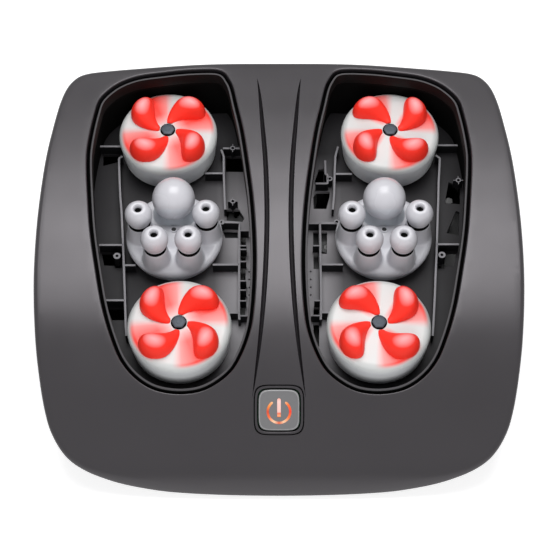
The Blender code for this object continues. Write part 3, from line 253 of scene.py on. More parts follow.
def closed_curve(points):
    """A smooth closed curve through given points, counter-clockwise and evenly spaced."""
    p1 = np.asarray(points, float)
    p0, p2, p3 = np.roll(p1, 1, 0), np.roll(p1, -1, 0), np.roll(p1, -2, 0)
    t1 = np.sqrt(np.linalg.norm(p1 - p0, axis=1))[:, None, None]
    t2 = t1 + np.sqrt(np.linalg.norm(p2 - p1, axis=1))[:, None, None]
    t3 = t2 + np.sqrt(np.linalg.norm(p3 - p2, axis=1))[:, None, None]
    p0, p1, p2, p3 = (p[:, None, :] for p in (p0, p1, p2, p3))
    t = t1 + (t2 - t1) * (np.arange(CURVE_SAMPLES) / CURVE_SAMPLES)[None, :, None]
    a1, a2, a3 = (((t1 - t) * p0 + t * p1) / t1, ((t2 - t) * p1 + (t - t1) * p2) / (t2 - t1),
                  ((t3 - t) * p2 + (t - t2) * p3) / (t3 - t2))
    b1, b2 = ((t2 - t) * a1 + t * a2) / t2, ((t3 - t) * a2 + (t - t1) * a3) / (t3 - t1)
    loop = (((t2 - t) * b1 + (t - t1) * b2) / (t2 - t1)).reshape(-1, 2)
    area = np.sum(loop[:, 0] * np.roll(loop[:, 1], -1) - loop[:, 1] * np.roll(loop[:, 0], -1))
    loop = loop if area > 0 else loop[::-1]
    around = np.vstack((loop, loop[:1]))
    length = np.concatenate(([0.0], np.cumsum(np.linalg.norm(np.diff(around, axis=0), axis=1))))
    at = np.linspace(0.0, length[-1], round(length[-1] / CURVE_STEP), endpoint=False)
    return np.column_stack((np.interp(at, length, around[:, 0]), np.interp(at, length, around[:, 1])))


def grown(loop, distance):
    """A counter-clockwise loop moved outwards on its own normals."""
    along = np.roll(loop, -1, 0) - np.roll(loop, 1, 0)
    along /= np.linalg.norm(along, axis=1)[:, None]
    return loop + np.column_stack((along[:, 1], -along[:, 0])) * distance


def holds(loop, points):
    """Which points lie inside a closed loop."""
    inside = np.zeros(len(points), bool)
    for (x0, y0), (x1, y1) in zip(loop, np.roll(loop, -1, 0)):
        crosses = (y0 > points[:, 1]) != (y1 > points[:, 1])
        if y1 != y0:
            inside ^= crosses & (points[:, 0] < (x1 - x0) * (points[:, 1] - y0) / (y1 - y0) + x0)
    return inside


def filled(outline, holes, fill):
    """Flat points and triangles that fill an outline round its holes, through inner points."""
    borders_of_sheet = [outline] + list(holes)

    def on_sheet(points):
        """Which points lie inside the outline and in none of the holes."""
        wanted = holds(outline, points)
        for hole in holes:
            wanted &= ~holds(hole, points)
        return wanted

    fill = fill[on_sheet(fill)]
    rims = np.vstack(borders_of_sheet)
    fill = fill[[np.min(np.sum((rims - p) ** 2, axis=1)) > SHEET_CLEARANCE**2 for p in fill]]
    flat, edges = [Vector(p) for p in fill], []
    for loop in borders_of_sheet:
        start, count = len(flat), len(loop)
        flat += [Vector(p) for p in loop]
        edges += [(start + k, start + (k + 1) % count) for k in range(count)]
    points, _, faces, _, _, _ = delaunay_2d_cdt(flat, edges, [], 0, SAME_POINT / 10)
    points = np.array([tuple(p) for p in points])
    inside = on_sheet(np.array([np.mean(points[list(face)], axis=0) for face in faces]))
    return points, [face for face, wanted in zip(faces, inside) if wanted]


def at_height(loop, height):
    """A flat line at one height, or at a height for each of its points."""
    return np.column_stack((loop, np.broadcast_to(height, len(loop))))


def under_arch(loop, drop):
    """A flat line laid at a depth under the arch of the casing."""
    return at_height(loop, arch_height(loop[:, 1]) - drop)


def rolled(loop, reach, drop, steps):
    """Levels of a rounded edge that rolls from the arch down onto a loop."""
    levels = []
    for turn in np.linspace(0, math.pi / 2, steps + 1):
        levels.append(under_arch(grown(loop, reach * (1 - math.sin(turn))), drop * (1 - math.cos(turn))))
    return levels


def bands(levels, ring=False, loops=True):
    """Points and faces of a surface through lines of equal counts; a ring closes on its first line."""
    count, points = len(levels[0]), np.vstack(levels)
    pairs = [(k, k + 1) for k in range(len(levels) - 1)] + ([(len(levels) - 1, 0)] if ring else [])
    faces = [(a * count + k, a * count + (k + 1) % count, b * count + (k + 1) % count, b * count + k)
             for a, b in pairs for k in range(count if loops else count - 1)]
    return points, faces


def mesh_of(name, shapes):
    """An object from shapes, each its points and faces, with doubles merged and faces pointing outwards."""
    form = bmesh.new()
    for points, faces in shapes:
        verts = [form.verts.new(tuple(map(float, p))) for p in points]
        for face in faces:
            form.faces.new([verts[k] for k in face])
    bmesh.ops.remove_doubles(form, verts=form.verts, dist=SAME_POINT)
    bmesh.ops.dissolve_degenerate(form, edges=form.edges, dist=SLIVER)
    bmesh.ops.recalc_face_normals(form, faces=form.faces)
    mesh = bpy.data.meshes.new(name)
    form.to_mesh(mesh)
    form.free()
    mesh.shade_smooth()
    mesh.set_sharp_from_angle(angle=SHARP_ANGLE)
    return placed(name, mesh)


def settled(obj):
    """The object with its modifiers worked into a plain mesh."""
    bpy.context.view_layer.update()
    mesh = bpy.data.meshes.new_from_object(obj.evaluated_get(bpy.context.evaluated_depsgraph_get()))
    obj.modifiers.clear()
    obj.data = mesh
    mesh.name = obj.name
    return obj


def dressed(obj, finish, slot, body="casing", *nodes):
    """Gives a finished piece its material and the body it moves with, and hides the nodes it stands for; its slot is
    not used.
    """
    obj.data.materials.clear()
    obj.data.materials.append(finish)
    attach(obj, body)
    if nodes:
        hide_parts(*nodes)
    return obj


def piece(name, shapes, *dress):
    """A finished piece straight from its shapes."""
    return dressed(mesh_of(name, shapes), *dress)


def moulded(name, colour, shade, roughness, grain=0.0007, grain_depth=0.02, rub=0.06, **sockets):
    """A moulded plastic or rubber: cloudy colour, a fine textured skin and patches worn a little smoother."""
    made = bpy.data.materials.new(name)
    made.use_nodes = True
    tree = made.node_tree
    body = tree.nodes["Principled BSDF"]
    place = wire(tree, "ShaderNodeTexCoord").outputs["Object"]
    cloud = fed(tree, "ShaderNodeTexNoise", {"Vector": place, "Scale": CLOUD_SCALE, "Detail": CLOUD_DETAIL})
    fleck = fed(tree, "ShaderNodeTexNoise", {"Vector": place, "Scale": 1 / grain, "Detail": FLECK_DETAIL})
    both = fed(tree, "ShaderNodeMix", {0: FLECK_SHARE, 2: cloud, 3: fleck}, data_type="FLOAT")
    tree.links.new(mixed(tree, both, (*colour, 1.0), (*shade, 1.0)), body.inputs["Base Color"])
    worn = fed(tree, "ShaderNodeMapRange", {"Value": cloud, "From Min": WORN_FROM, "From Max": WORN_TO,
                                            "To Min": roughness - rub, "To Max": roughness + rub})
    tree.links.new(worn, body.inputs["Roughness"])
    skin = fed(tree, "ShaderNodeBump", {"Height": fleck, "Strength": 1.0, "Distance": grain * grain_depth})
    tree.links.new(skin, body.inputs["Normal"])
    for socket, value in sockets.items():
        body.inputs[socket.replace("_", " ")].default_value = value
    return made


def marked(obj, name, values):
    """Keeps one number or one colour for each vertex of a piece, for its material to read."""
    values = np.asarray(values, np.float32)
    layer = obj.data.attributes.new(name, "FLOAT" if values.ndim == 1 else "FLOAT_COLOR", "POINT")
    layer.data.foreach_set("value" if values.ndim == 1 else "color", values.ravel())


def places_of(obj):
    """The vertices of a piece as rows of an array."""
    co = np.empty(len(obj.data.vertices) * 3)
    obj.data.vertices.foreach_get("co", co)
    return co.reshape(-1, 3)


def laid_over(finish, value, colour, low=0.0, high=1.0):
    """Lays a second colour over a plastic's own where a value goes from low to high."""
    tree = finish.node_tree
    base = tree.nodes["Principled BSDF"].inputs["Base Color"]
    share = fed(tree, "ShaderNodeMapRange", {"Value": value, "From Min": low, "From Max": high})
    tree.links.new(mixed(tree, share, base.links[0].from_socket, (*colour, 1.0)), base)


def blended(finish, name, colour, low=0.0, high=1.0):
    """Lays a second colour over a plastic's own by a vertex mark of the piece."""
    mark = wire(finish.node_tree, "ShaderNodeAttribute", attribute_name=name).outputs["Fac"]
    laid_over(finish, mark, colour, low, high)


def own_place(tree):
    """The three coordinates of a point of the piece."""
    return wire(tree, "ShaderNodeSeparateXYZ", {0: wire(tree, "ShaderNodeTexCoord").outputs["Object"]}).outputs


def in_well(across, along):
    """A place in the left well, from shares of its width outwards and of its length rearwards."""
    return np.array((-WELL_INNER_X - across * WELL_WIDTH, WELL_FRONT_Y + along * WELL_LENGTH))


def squircle(size):
    """A square with continuously rounded sides, counter-clockwise."""
    turn = np.linspace(0, 2 * math.pi, SQUIRCLE_STEPS, endpoint=False)
    c, s = np.cos(turn), np.sin(turn)
    reach = (np.abs(c) ** SQUIRCLE_EXPONENT + np.abs(s) ** SQUIRCLE_EXPONENT) ** (-1 / SQUIRCLE_EXPONENT)
    return np.column_stack((c, s)) * reach[:, None] * size / 2


def on_slope(points):
    """Moves points made about the origin onto the casing's front slope, where the button is."""
    c, s = math.cos(BUTTON_TILT), math.sin(BUTTON_TILT)
    points = np.asarray(points, float)
    x, v, n = points[:, 0], points[:, 1], points[:, 2]
    return np.column_stack((x, BUTTON_Y + v * c - n * s, arch_height(BUTTON_Y) + v * s + n * c))


right_outline = [(a * HALF_WIDTH, b * HALF_DEPTH) for a, b in CASE_OUTLINE_SHARES]
CASE_OUTLINE = closed_curve(right_outline + [(-x, y) for x, y in reversed(right_outline[1:-1])])
CASE_OUTLINE = np.clip(CASE_OUTLINE, (-HALF_WIDTH, -HALF_DEPTH), (HALF_WIDTH, HALF_DEPTH))
LEFT_WELL = closed_curve([in_well(a, b) for a, b in WELL_SHARES])
WELLS = {"left": LEFT_WELL, "right": (LEFT_WELL * (-1, 1))[::-1]}


def wall_inset(y, height, extra=0.0):
    """How far the side wall lies inside the casing's edge, at a height over the floor."""
    crest = arch_height(y) - EDGE_ROUND_DOWN
    tuck = np.minimum(BASE_TUCK, TUCK_SLOPE_SHARE * (crest - FOOT_HEIGHT))
    share = np.clip((crest - height) / np.maximum(crest - FOOT_HEIGHT, 1e-4), 0, 1)
    return extra + tuck * share


def shrunk(loop, inset):
    """A loop drawn in towards the middle of the casing."""
    inset = np.broadcast_to(inset, len(loop))[:, None]
    return loop * (1 - inset / np.array((HALF_WIDTH, HALF_DEPTH)))


def inside_back(ring, height, clearance):
    """A loop held inside the slanted back wall of the casing."""
    rear_y = np.interp(np.abs(ring[:, 0]), *zip(*right_outline[:8]))
    limit = rear_y * (1 - wall_inset(rear_y, height, clearance) / HALF_DEPTH)
    return np.column_stack((ring[:, 0], np.minimum(ring[:, 1], limit)))


skin_levels = rolled(CASE_OUTLINE, -EDGE_ROUND_IN, EDGE_ROUND_DOWN, EDGE_STEPS)
edge_z = skin_levels[-1][:, 2]
for share in SIDE_SHARES:
    height = edge_z + (FOOT_HEIGHT - edge_z) * share
    skin_levels.append(at_height(shrunk(CASE_OUTLINE, wall_inset(CASE_OUTLINE[:, 1], height)), height))
foot_line = shrunk(CASE_OUTLINE, wall_inset(CASE_OUTLINE[:, 1], FOOT_HEIGHT, FOOT_TURN_IN))
skin_levels.append(at_height(foot_line, FOOT_HEIGHT + FOOT_EDGE))
skin_points, skin_faces = bands(skin_levels)
face_middles = np.array([skin_points[list(face)].mean(axis=0) for face in skin_faces])
at_inlet = (np.hypot(face_middles[:, 0], face_middles[:, 2] - INLET_Z) < INLET_HOLE) & (face_middles[:, 1] > 0)
cover_shapes = [(skin_points, [face for face, open_here in zip(skin_faces, at_inlet) if not open_here])]
edges_of_top = [skin_levels[0][:, :2]]

for well in WELLS.values():
    lip_levels = rolled(well, LIP_ROUND, LIP_ROUND, LIP_STEPS) + [under_arch(well, drop) for drop in LIP_DEPTHS]
    cover_shapes.append(bands(lip_levels))
    edges_of_top.append(lip_levels[0][:, :2])

hole_levels = []
for size, depth in ((BEZEL_LIP, 0.0), (BEZEL_LIP / 3, BEZEL_LIP / 4), (0.0, BEZEL_LIP), (0.0, BEZEL_HOLE_DEPTH)):
    hole_levels.append(on_slope(at_height(squircle(BEZEL_SIZE + 2 * BEZEL_GAP + 2 * size), -depth)))
hole_levels[0][:, 2] = arch_height(hole_levels[0][:, 1])
cover_shapes.append(bands(hole_levels))
edges_of_top.append(hole_levels[0][:, :2])

slit_run = np.linspace(0, len(SLIT_SHARES) - 1, SLIT_STEPS)
slit_path = np.column_stack([np.interp(slit_run, np.arange(len(SLIT_SHARES)), line) for line in SLIT_SHARES.T])
for line in slit_path.T:
    padded = np.pad(line, SLIT_SMOOTHING // 2, mode="edge")
    line[1:-1] = np.convolve(padded, np.ones(SLIT_SMOOTHING) / SLIT_SMOOTHING, mode="valid")[1:-1]
size = slit_path[:, 2:]
for side, _ in FEET:
    middle = slit_path[:, :2] * (side * WELL_INNER_X, HALF_DEPTH)
    along = np.gradient(middle, axis=0)
    along /= np.linalg.norm(along, axis=1)[:, None]
    across = np.column_stack((along[:, 1], -along[:, 0])) * size * SLIT_HALF_WIDTH
    rows = [under_arch(middle + across * width, depth * size[:, 0] ** SLIT_FADE * SLIT_DEPTH)
            for width, depth in SLIT_SECTION]
    cover_shapes.append(bands(rows, loops=False))
    edges_of_top.append(np.vstack((rows[0][:, :2], rows[-1][-2:0:-1, :2])))

fill = np.array([(x, y) for y in np.arange(-HALF_DEPTH, HALF_DEPTH, ROW_STEP)
                 for x in np.arange(-HALF_WIDTH, HALF_WIDTH, COLUMN_STEP) + COLUMN_STEP / 2])
sheet_points, sheet_faces = filled(edges_of_top[0], edges_of_top[1:], fill)
cover_shapes.append((under_arch(sheet_points, 0.0), sheet_faces))

cover = mesh_of("casing_top_cover", cover_shapes)
top_face = max(cover.data.polygons, key=lambda face: face.center.z)
if top_face.normal.z < 0:
    cover.data.flip_normals()
wall = cover.modifiers.new("skin_thickness", "SOLIDIFY")
wall.thickness = COVER_SKIN
wall.offset = -1.0
settled(cover)
GRAPHITE = moulded("graphite_satin_abs", (0.0142, 0.0130, 0.0147), (0.0185, 0.0170, 0.0190), 0.31, rub=0.03,
                   grain_depth=0.012, Specular_IOR_Level=0.55, Specular_Tint=(1.0, 0.955, 1.0, 1.0))
dressed(cover, GRAPHITE, "casing", "casing", "top_cover")


# ---- Well frames: thin trim rings of black ABS, snapped into each well just inside the cover's lip. They stand on
# the ledge of the well wall and hide the joint between the cover and the wall.

FRAME_OUTER = -0.0026
FRAME_INNER = -0.0044
FRAME_DROP = 0.0022
FRAME_FOOT_DROP = 0.0140
FRAME_ROUND = 0.0005
# Painted highlight: the top band of each trim ring is coloured lighter than its black body
TRIM_PAINTED_HIGHLIGHT = (0.075, 0.072, 0.076)
TRIM_HIGHLIGHT_SHARE = 0.5
TRIM = moulded("charcoal_trim_abs", (0.004, 0.004, 0.004), (0.006, 0.006, 0.006), 0.50, rub=0.04,
               Specular_IOR_Level=0.12)
blended(TRIM, "crest", TRIM_PAINTED_HIGHLIGHT, TRIM_HIGHLIGHT_SHARE)
# Round a frame's section: distance out from the well's edge, depth under the arch
FRAME_SECTION = (
    (FRAME_OUTER, FRAME_FOOT_DROP), (FRAME_OUTER, FRAME_DROP + FRAME_ROUND),
    (FRAME_OUTER - FRAME_ROUND / 3, FRAME_DROP + FRAME_ROUND / 3), (FRAME_OUTER - FRAME_ROUND, FRAME_DROP),
    (FRAME_INNER + FRAME_ROUND, FRAME_DROP), (FRAME_INNER + FRAME_ROUND / 3, FRAME_DROP + FRAME_ROUND / 3),
    (FRAME_INNER, FRAME_DROP + FRAME_ROUND), (FRAME_INNER, FRAME_FOOT_DROP),
)
for hand, well in WELLS.items():
    levels = [under_arch(grown(well, inset), drop) for inset, drop in FRAME_SECTION]
    trim = mesh_of(f"{hand}_well_trim", [bands(levels, ring=True)])
    co = places_of(trim)
    # Marks the top band of the trim, which takes the painted highlight
    marked(trim, "crest", arch_height(co[:, 1]) - co[:, 2] < FRAME_DROP + FRAME_ROUND / 2)
    dressed(trim, TRIM, "inner_plastic", "casing", f"{hand}_well_frame")


# ---- Well walls: black ABS rings that stand on the tray's rim and close the space between the tray and the cover.
# A ledge near the top carries the trim ring. At the rear they follow the slanted back wall of the casing.

WALL_OUTER = 0.0015
WALL_INNER = -0.0007
WALL_FOOT_Z = 0.0393
WALL_DROP = 0.0140
LEDGE_DROP = 0.0143
LEDGE_LOW = 0.0162
LEDGE_INNER = -0.0044
BACK_CLEARANCE = 0.0031
LINING = moulded("black_lining_abs", (0.003, 0.003, 0.003), (0.005, 0.005, 0.005), 0.75, rub=0.04,
                 Specular_IOR_Level=0.03)
# Round a wall's section: distance out from the well's edge, depth under the arch, share of the way to the foot
WALL_SECTION = [(WALL_OUTER, WALL_DROP, share) for share in (0.0, 0.5, 1.0)]
WALL_SECTION += [(WALL_INNER, WALL_DROP, share) for share in (1.0, 0.7, 0.4, 0.2)]
WALL_SECTION += [(WALL_INNER, LEDGE_LOW, 0.0), (LEDGE_INNER, LEDGE_LOW, 0.0), (LEDGE_INNER, LEDGE_DROP, 0.0),
                 (WALL_INNER, LEDGE_DROP, 0.0), (WALL_INNER, WALL_DROP, 0.0)]
for hand, well in WELLS.items():
    levels = []
    for inset, drop, share in WALL_SECTION:
        ring = grown(well, inset)
        crest = arch_height(ring[:, 1]) - drop
        height = crest + (WALL_FOOT_Z - crest) * share
        levels.append(at_height(inside_back(ring, height, BACK_CLEARANCE + WALL_OUTER - inset), height))
    piece(f"{hand}_well_liner", [bands(levels, ring=True)], LINING, "inner_plastic", "casing", f"{hand}_well_wall")


# ---- Trays: the floors under the wells, moulded in mid grey ABS with rails, ribs, screw bosses and openings over the
# drive, and a seat for each spindle. Six screws from below hold each one on the posts of the base pan.

TRAY_Z = 0.036
TRAY_TOP = 0.039
TRAY_GREY = (0.092, 0.088, 0.094)
TRAY_SHADE = (0.074, 0.071, 0.076)
# Painted shade and painted light: the tray turns darker towards its outer side, its rear and its front, and lighter
# near its inner side
TRAY_PAINTED_SHADE = (0.020, 0.019, 0.021)
TRAY_PAINTED_LIGHT = (0.29, 0.28, 0.295)
NEAR_FROM = 0.054
NEAR_TO = 0.036
FAR_FROM = 0.055
FAR_TO = 0.122
REAR_FROM = 0.068
REAR_TO = 0.125
FRONT_FROM = -0.076
FRONT_TO = -0.104
# Painted shade on everything that stands above the tray floor, and a painted highlight on the tops of the ribs
RIB_PAINTED_SHADE = (0.008, 0.008, 0.009)
RIB_TOP_PAINTED_HIGHLIGHT = (0.24, 0.235, 0.25)
RIB_WIDTH = 0.0019
RIB_LOW = 0.0385
RIB_TOP = 0.050
RIB_ROUND = 0.0004
RIB_STEP = 0.0015
RIB_SWEPT_TOP = 0.0424
SWEEP_REACH = 0.0408
COMB_WIDTH = 0.0013
BOSS_HOLE = 0.0013
BOSS_STEPS = 28
FINNED_RADIUS = 2.3
FIN_START = 2.0
FIN_REACH = 4.2
FIN_WIDTH = 0.0008
BEAD_RADIUS = 0.0008
PEDESTAL_RADIUS = 0.016
PEDESTAL_TOP = 0.044
BUSH_RADIUS = 0.008
BUSH_LOW = 0.030
SPINDLE_BORE = 0.0058
TOE_OUT = math.radians(4.6)
MIDDLE_X = 0.0875
DRIVE_Y = 0.0315
DISC_SPACING = 0.0945
MILLIMETRE = 0.001
TRAY_FILL_STEP = 0.008
# Rails and ribs by their middle lines, in millimetres of the model's plan
RAILS = {
    "left": (
        ((-50.0, 121.8), (-47.8, 114.9), (-47.3, 95.1), (-46.4, 75.0), (-45.6, 60.0)),
        ((-48.1, 47.3), (-39.6, 47.2), (-32.9, 46.7), (-33.3, 39.3), (-32.7, -38.1), (-32.3, -47.0)),
        ((-135.2, 114.9), (-138.2, 112.9), (-137.5, 102.5), (-136.4, 87.9), (-135.1, 73.1), (-133.4, 58.6),
         (-130.3, 23.0), (-128.7, 2.1), (-127.1, -18.5), (-125.6, -38.7), (-124.7, -52.1), (-123.6, -62.0)),
        ((-63.5, 97.1), (-47.6, 97.1)), ((-48.6, 123.3), (-43.0, 123.3)), ((-37.4, 123.3), (-33.5, 123.3)),
        ((-55.2, 5.5), (-33.1, 5.5)), ((-44.0, -40.4), (-32.4, -40.4)), ((-157.2, 125.3), (-136.6, 125.3)),
        ((-150.4, 24.7), (-130.5, 24.7)), ((-143.8, -28.7), (-126.4, -28.7)), ((-128.8, 4.9), (-119.2, 4.9)),
    ),
    "right": (
        ((51.1, 125.0), (48.7, 114.5), (47.8, 98.2), (46.9, 75.0), (45.6, 60.0)),
        ((34.5, 46.3), (34.5, -28.7), (34.0, -47.0)),
        ((135.5, 116.0), (138.9, 112.9), (138.0, 102.5), (136.6, 87.9), (135.5, 70.5), (134.6, 59.3), (131.3, 14.6),
         (129.6, -4.8), (128.0, -24.9), (125.5, -52.1), (124.4, -62.0)),
        ((47.8, 96.5), (62.7, 96.5)), ((21.6, 46.3), (48.7, 46.3)), ((34.5, 5.6), (53.2, 5.6)),
        ((137.7, 126.5), (157.2, 126.5)), ((131.8, 25.4), (150.6, 25.4)), ((39.8, 110.4), (39.8, 96.0)),
        ((39.8, 96.0), (41.6, 96.0), (41.6, 86.6), (31.2, 86.6)), ((34.5, -40.0), (44.0, -40.4)),
    ),
}
COMBS = {
    "left": (((-32.6, 38.9), (-25.4, 38.9)), ((-32.6, 24.0), (-27.2, 24.0)), ((-32.6, 20.4), (-27.2, 20.4)),
             ((-32.6, 8.5), (-27.2, 8.5)), ((-32.6, -10.2), (-27.0, -10.2)), ((-32.6, -19.0), (-27.0, -19.0)),
             ((-32.6, -29.2), (-26.9, -29.2)), ((-32.3, -43.3), (-24.4, -43.3))),
    "right": (((28.3, 24.0), (34.2, 24.0)), ((28.9, -29.0), (34.2, -29.0)), ((26.1, -43.1), (34.2, -43.1))),
}
# Screw bosses: place and outer radius; those with fins stand between two ribs
BOSSES = {
    "left": ((-48.1, 47.3, 2.3), (-135.0, 13.9, 3.0)),
    "right": ((43.6, 91.4, 2.3), (48.7, 47.5, 2.3), (135.8, 14.9, 3.0)),
}
FINNED_BOSSES = {"left": ((-40.1, 123.4), (-39.3, 68.4)), "right": ((153.6, 89.9),)}
OPENINGS = {
    "left": (
        ((-46.5, 121.8), (-31.6, 121.8), (-30.0, 105.7), (-46.0, 105.9)),
        ((-45.2, 66.8), (-34.0, 66.8), (-29.5, 58.2), (-31.1, 54.4), (-44.4, 55.7)),
        ((-48.0, 46.0), (-34.9, 45.6), (-34.7, 38.2), (-45.4, 38.2)),
        ((-32.0, 45.2), (-28.0, 45.2), (-27.8, -41.5), (-31.8, -41.5)),
        ((-149.2, 23.4), (-131.9, 23.4), (-131.6, 8.5), (-137.2, 8.5), (-137.6, 10.6), (-146.6, 11.0)),
        ((-141.5, -30.0), (-127.9, -30.0), (-127.2, -41.5), (-137.4, -41.5)),
        ((-153.2, 123.8), (-138.6, 123.8), (-140.2, 116.0), (-152.8, 112.0)),
    ),
    "right": (
        ((34.4, 108.4), (38.6, 108.4), (38.6, 88.0), (31.8, 88.0), (30.6, 95.3), (33.0, 103.3)),
        ((29.4, 80.4), (32.2, 85.2), (43.9, 85.2), (43.2, 79.0), (40.5, 67.6), (29.6, 67.6)),
        ((146.4, 95.3), (155.8, 90.7), (155.1, 72.3), (142.1, 73.7)),
        ((151.2, 65.7), (154.1, 64.4), (152.1, 40.5), (142.0, 43.3)),
        ((133.3, 24.0), (149.2, 24.0), (146.6, 11.0), (139.0, 10.6), (138.4, 8.0), (132.6, 8.0)),
        ((28.9, 44.8), (33.3, 44.8), (33.3, 7.6), (28.9, 7.6)),
        ((36.0, 44.8), (40.8, 44.8), (40.4, 22.6), (35.8, 22.6)),
        ((28.6, -30.4), (33.2, -30.4), (33.0, -41.8), (28.2, -41.8)),
        ((27.9, -44.6), (33.0, -44.6), (32.8, -66.0), (28.9, -66.0)),
    ),
}
BEADS = {"left": ((-24.9, 4.8), (-24.8, -2.5), (-24.7, -10.3), (-24.6, -17.5)),
         "right": ((26.5, 5.3), (26.4, -2.4), (26.4, -9.9), (26.3, -17.5))}


def disc_place(side, distance):
    """Centre of a disc, from its distance along its foot's line of spindles."""
    return np.array((side * (MIDDLE_X + distance * math.sin(TOE_OUT)), DRIVE_Y + distance * math.cos(TOE_OUT)))


def circle(centre, radius, steps):
    """A flat circle, counter-clockwise."""
    turn = np.linspace(0, 2 * math.pi, steps, endpoint=False)
    return centre + np.column_stack((np.cos(turn), np.sin(turn))) * radius


def spun(profile, steps, place=(0.0, 0.0), ring=True):
    """A turned shape about an upright axis; a point on the axis becomes a pole."""
    return bands([at_height(circle(place, r, steps), z) for r, z in profile], ring)


def solid_spun(profile, steps, place=(0.0, 0.0)):
    """A turned shape whose profile starts and ends on its axis."""
    return spun(profile, steps, place, ring=False)


def group(name, numbers, places=()):
    """An empty geometry tree with named inputs: numbers, places and a finish."""
    made = bpy.data.node_groups.new(name, "GeometryNodeTree")
    made.interface.new_socket("Geometry", in_out="OUTPUT", socket_type="NodeSocketGeometry")
    inputs = [("Geometry", "Geometry")] + [(label, "Float") for label in numbers]
    for label, kind in inputs + [(label, "Vector") for label in places] + [("Finish", "Material")]:
        made.interface.new_socket(label, in_out="INPUT", socket_type=f"NodeSocket{kind}")
    return made, made.nodes.new("NodeGroupInput").outputs


def finish_tree(made, geometry, finish):
    """Ends a geometry tree with real faces in one material."""
    plain = fed(made, "GeometryNodeRealizeInstances", {0: geometry})
    wire(made, "NodeGroupOutput", {0: fed(made, "GeometryNodeSetMaterial", {0: plain, "Material": finish})})


def grown_from(name, made, finish, points, edges, **inputs):
    """Runs a geometry tree over guide points and lines and keeps what it makes as a plain mesh in the casing."""
    guide = bpy.data.meshes.new(name)
    guide.from_pydata([tuple(map(float, p)) for p in points], edges, [])
    obj = placed(name, guide)
    grower = obj.modifiers.new(made.name, "NODES")
    grower.node_group = made
    sockets = {item.name: item.identifier for item in made.interface.items_tree if item.in_out == "INPUT"}
    grower[sockets["Finish"]] = finish
    for label, value in inputs.items():
        grower[sockets[label.replace("_", " ")]] = value
    settled(obj)
    obj.data.shade_smooth()
    obj.data.set_sharp_from_angle(angle=SHARP_ANGLE)
    return dressed(obj, finish, "inner_plastic")


DISC_LABELS = ("Rear Disc", "Middle Disc", "Front Disc")
rib_tree, given = group("moulded_ribs", ("Width", "Height", "Round", "Step", "Reach", "Swept Top"), DISC_LABELS)
line = fed(rib_tree, "GeometryNodeMeshToCurve", {0: given["Geometry"]})
line = fed(rib_tree, "GeometryNodeResampleCurve", {0: line, "Length": given["Step"]}, mode="LENGTH")
line = fed(rib_tree, "GeometryNodeSetCurveNormal", {0: line}, mode="Z_UP")
section = fed(rib_tree, "GeometryNodeCurvePrimitiveQuadrilateral", {"Width": given["Width"], "Height": given["Height"]})
section = fed(rib_tree, "GeometryNodeFilletCurve", {0: section, "Count": 2, "Radius": given["Round"]}, mode="POLY")
bars = fed(rib_tree, "GeometryNodeCurveToMesh", {0: line, 1: section, "Fill Caps": True})
place = wire(rib_tree, "ShaderNodeSeparateXYZ", {0: fed(rib_tree, "GeometryNodeInputPosition")}).outputs
plan = fed(rib_tree, "ShaderNodeCombineXYZ", {0: place[0], 1: place[1]})
away = [wire(rib_tree, "ShaderNodeVectorMath", {0: plan, 1: given[label]}, operation="DISTANCE").outputs["Value"]
        for label in DISC_LABELS]
nearest = calc(rib_tree, "MINIMUM", calc(rib_tree, "MINIMUM", away[0], away[1]), away[2])
limit = calc(rib_tree, "ADD", calc(rib_tree, "GREATER_THAN", nearest, given["Reach"]), given["Swept Top"])
height = calc(rib_tree, "MINIMUM", place[2], limit)
lowered = fed(rib_tree, "ShaderNodeCombineXYZ", {0: place[0], 1: place[1], 2: height})
finish_tree(rib_tree, fed(rib_tree, "GeometryNodeSetPosition", {0: bars, "Position": lowered}), given["Finish"])

boss_tree, given = group("screw_bosses", ("Radius", "Wall", "Height"))
middle = calc(boss_tree, "SUBTRACT", given["Radius"], calc(boss_tree, "MULTIPLY", given["Wall"], 0.5))
ring = fed(boss_tree, "GeometryNodeCurvePrimitiveCircle", {"Resolution": BOSS_STEPS, "Radius": middle}, mode="RADIUS")
section = fed(boss_tree, "GeometryNodeCurvePrimitiveQuadrilateral", {"Width": given["Wall"], "Height": given["Height"]})
tube = fed(boss_tree, "GeometryNodeCurveToMesh", {0: ring, 1: section})
bosses = fed(boss_tree, "GeometryNodeInstanceOnPoints", {"Points": given["Geometry"], "Instance": tube})
finish_tree(boss_tree, bosses, given["Finish"])

TRAY_PLASTIC = moulded("grey_tray_abs", TRAY_GREY, TRAY_SHADE, 0.50, rub=0.05, Specular_IOR_Level=0.16)
place = own_place(TRAY_PLASTIC.node_tree)
outwards = calc(TRAY_PLASTIC.node_tree, "ABSOLUTE", place[0])
# Painted light and shade in the tray's colour: lighter near the inner side, darker towards the outer side, rear and
# front, near black up the sides of ribs, bosses and seats, and a painted highlight on the rib tops
for value, low, high, colour in ((outwards, NEAR_FROM, NEAR_TO, TRAY_PAINTED_LIGHT), (outwards, FAR_FROM, FAR_TO, TRAY_PAINTED_SHADE),
                                 (place[1], REAR_FROM, REAR_TO, TRAY_PAINTED_SHADE), (place[1], FRONT_FROM, FRONT_TO, TRAY_PAINTED_SHADE),
                                 (place[2], TRAY_TOP + 0.0002, TRAY_TOP + 0.0010, RIB_PAINTED_SHADE),
                                 (place[2], RIB_TOP - 0.0006, RIB_TOP - 0.0002, RIB_TOP_PAINTED_HIGHLIGHT)):
    laid_over(TRAY_PLASTIC, value, colour, low, high)


def strips(lines):
    """Guide points and edges for bars along several middle lines, at half the bars' height."""
    points, edges = [], []
    for middle_line in lines:
        start = len(points)
        points += [(x * MILLIMETRE, y * MILLIMETRE, (RIB_LOW + RIB_TOP) / 2) for x, y in middle_line]
        edges += [(start + k, start + k + 1) for k in range(len(middle_line) - 1)]
    return points, edges


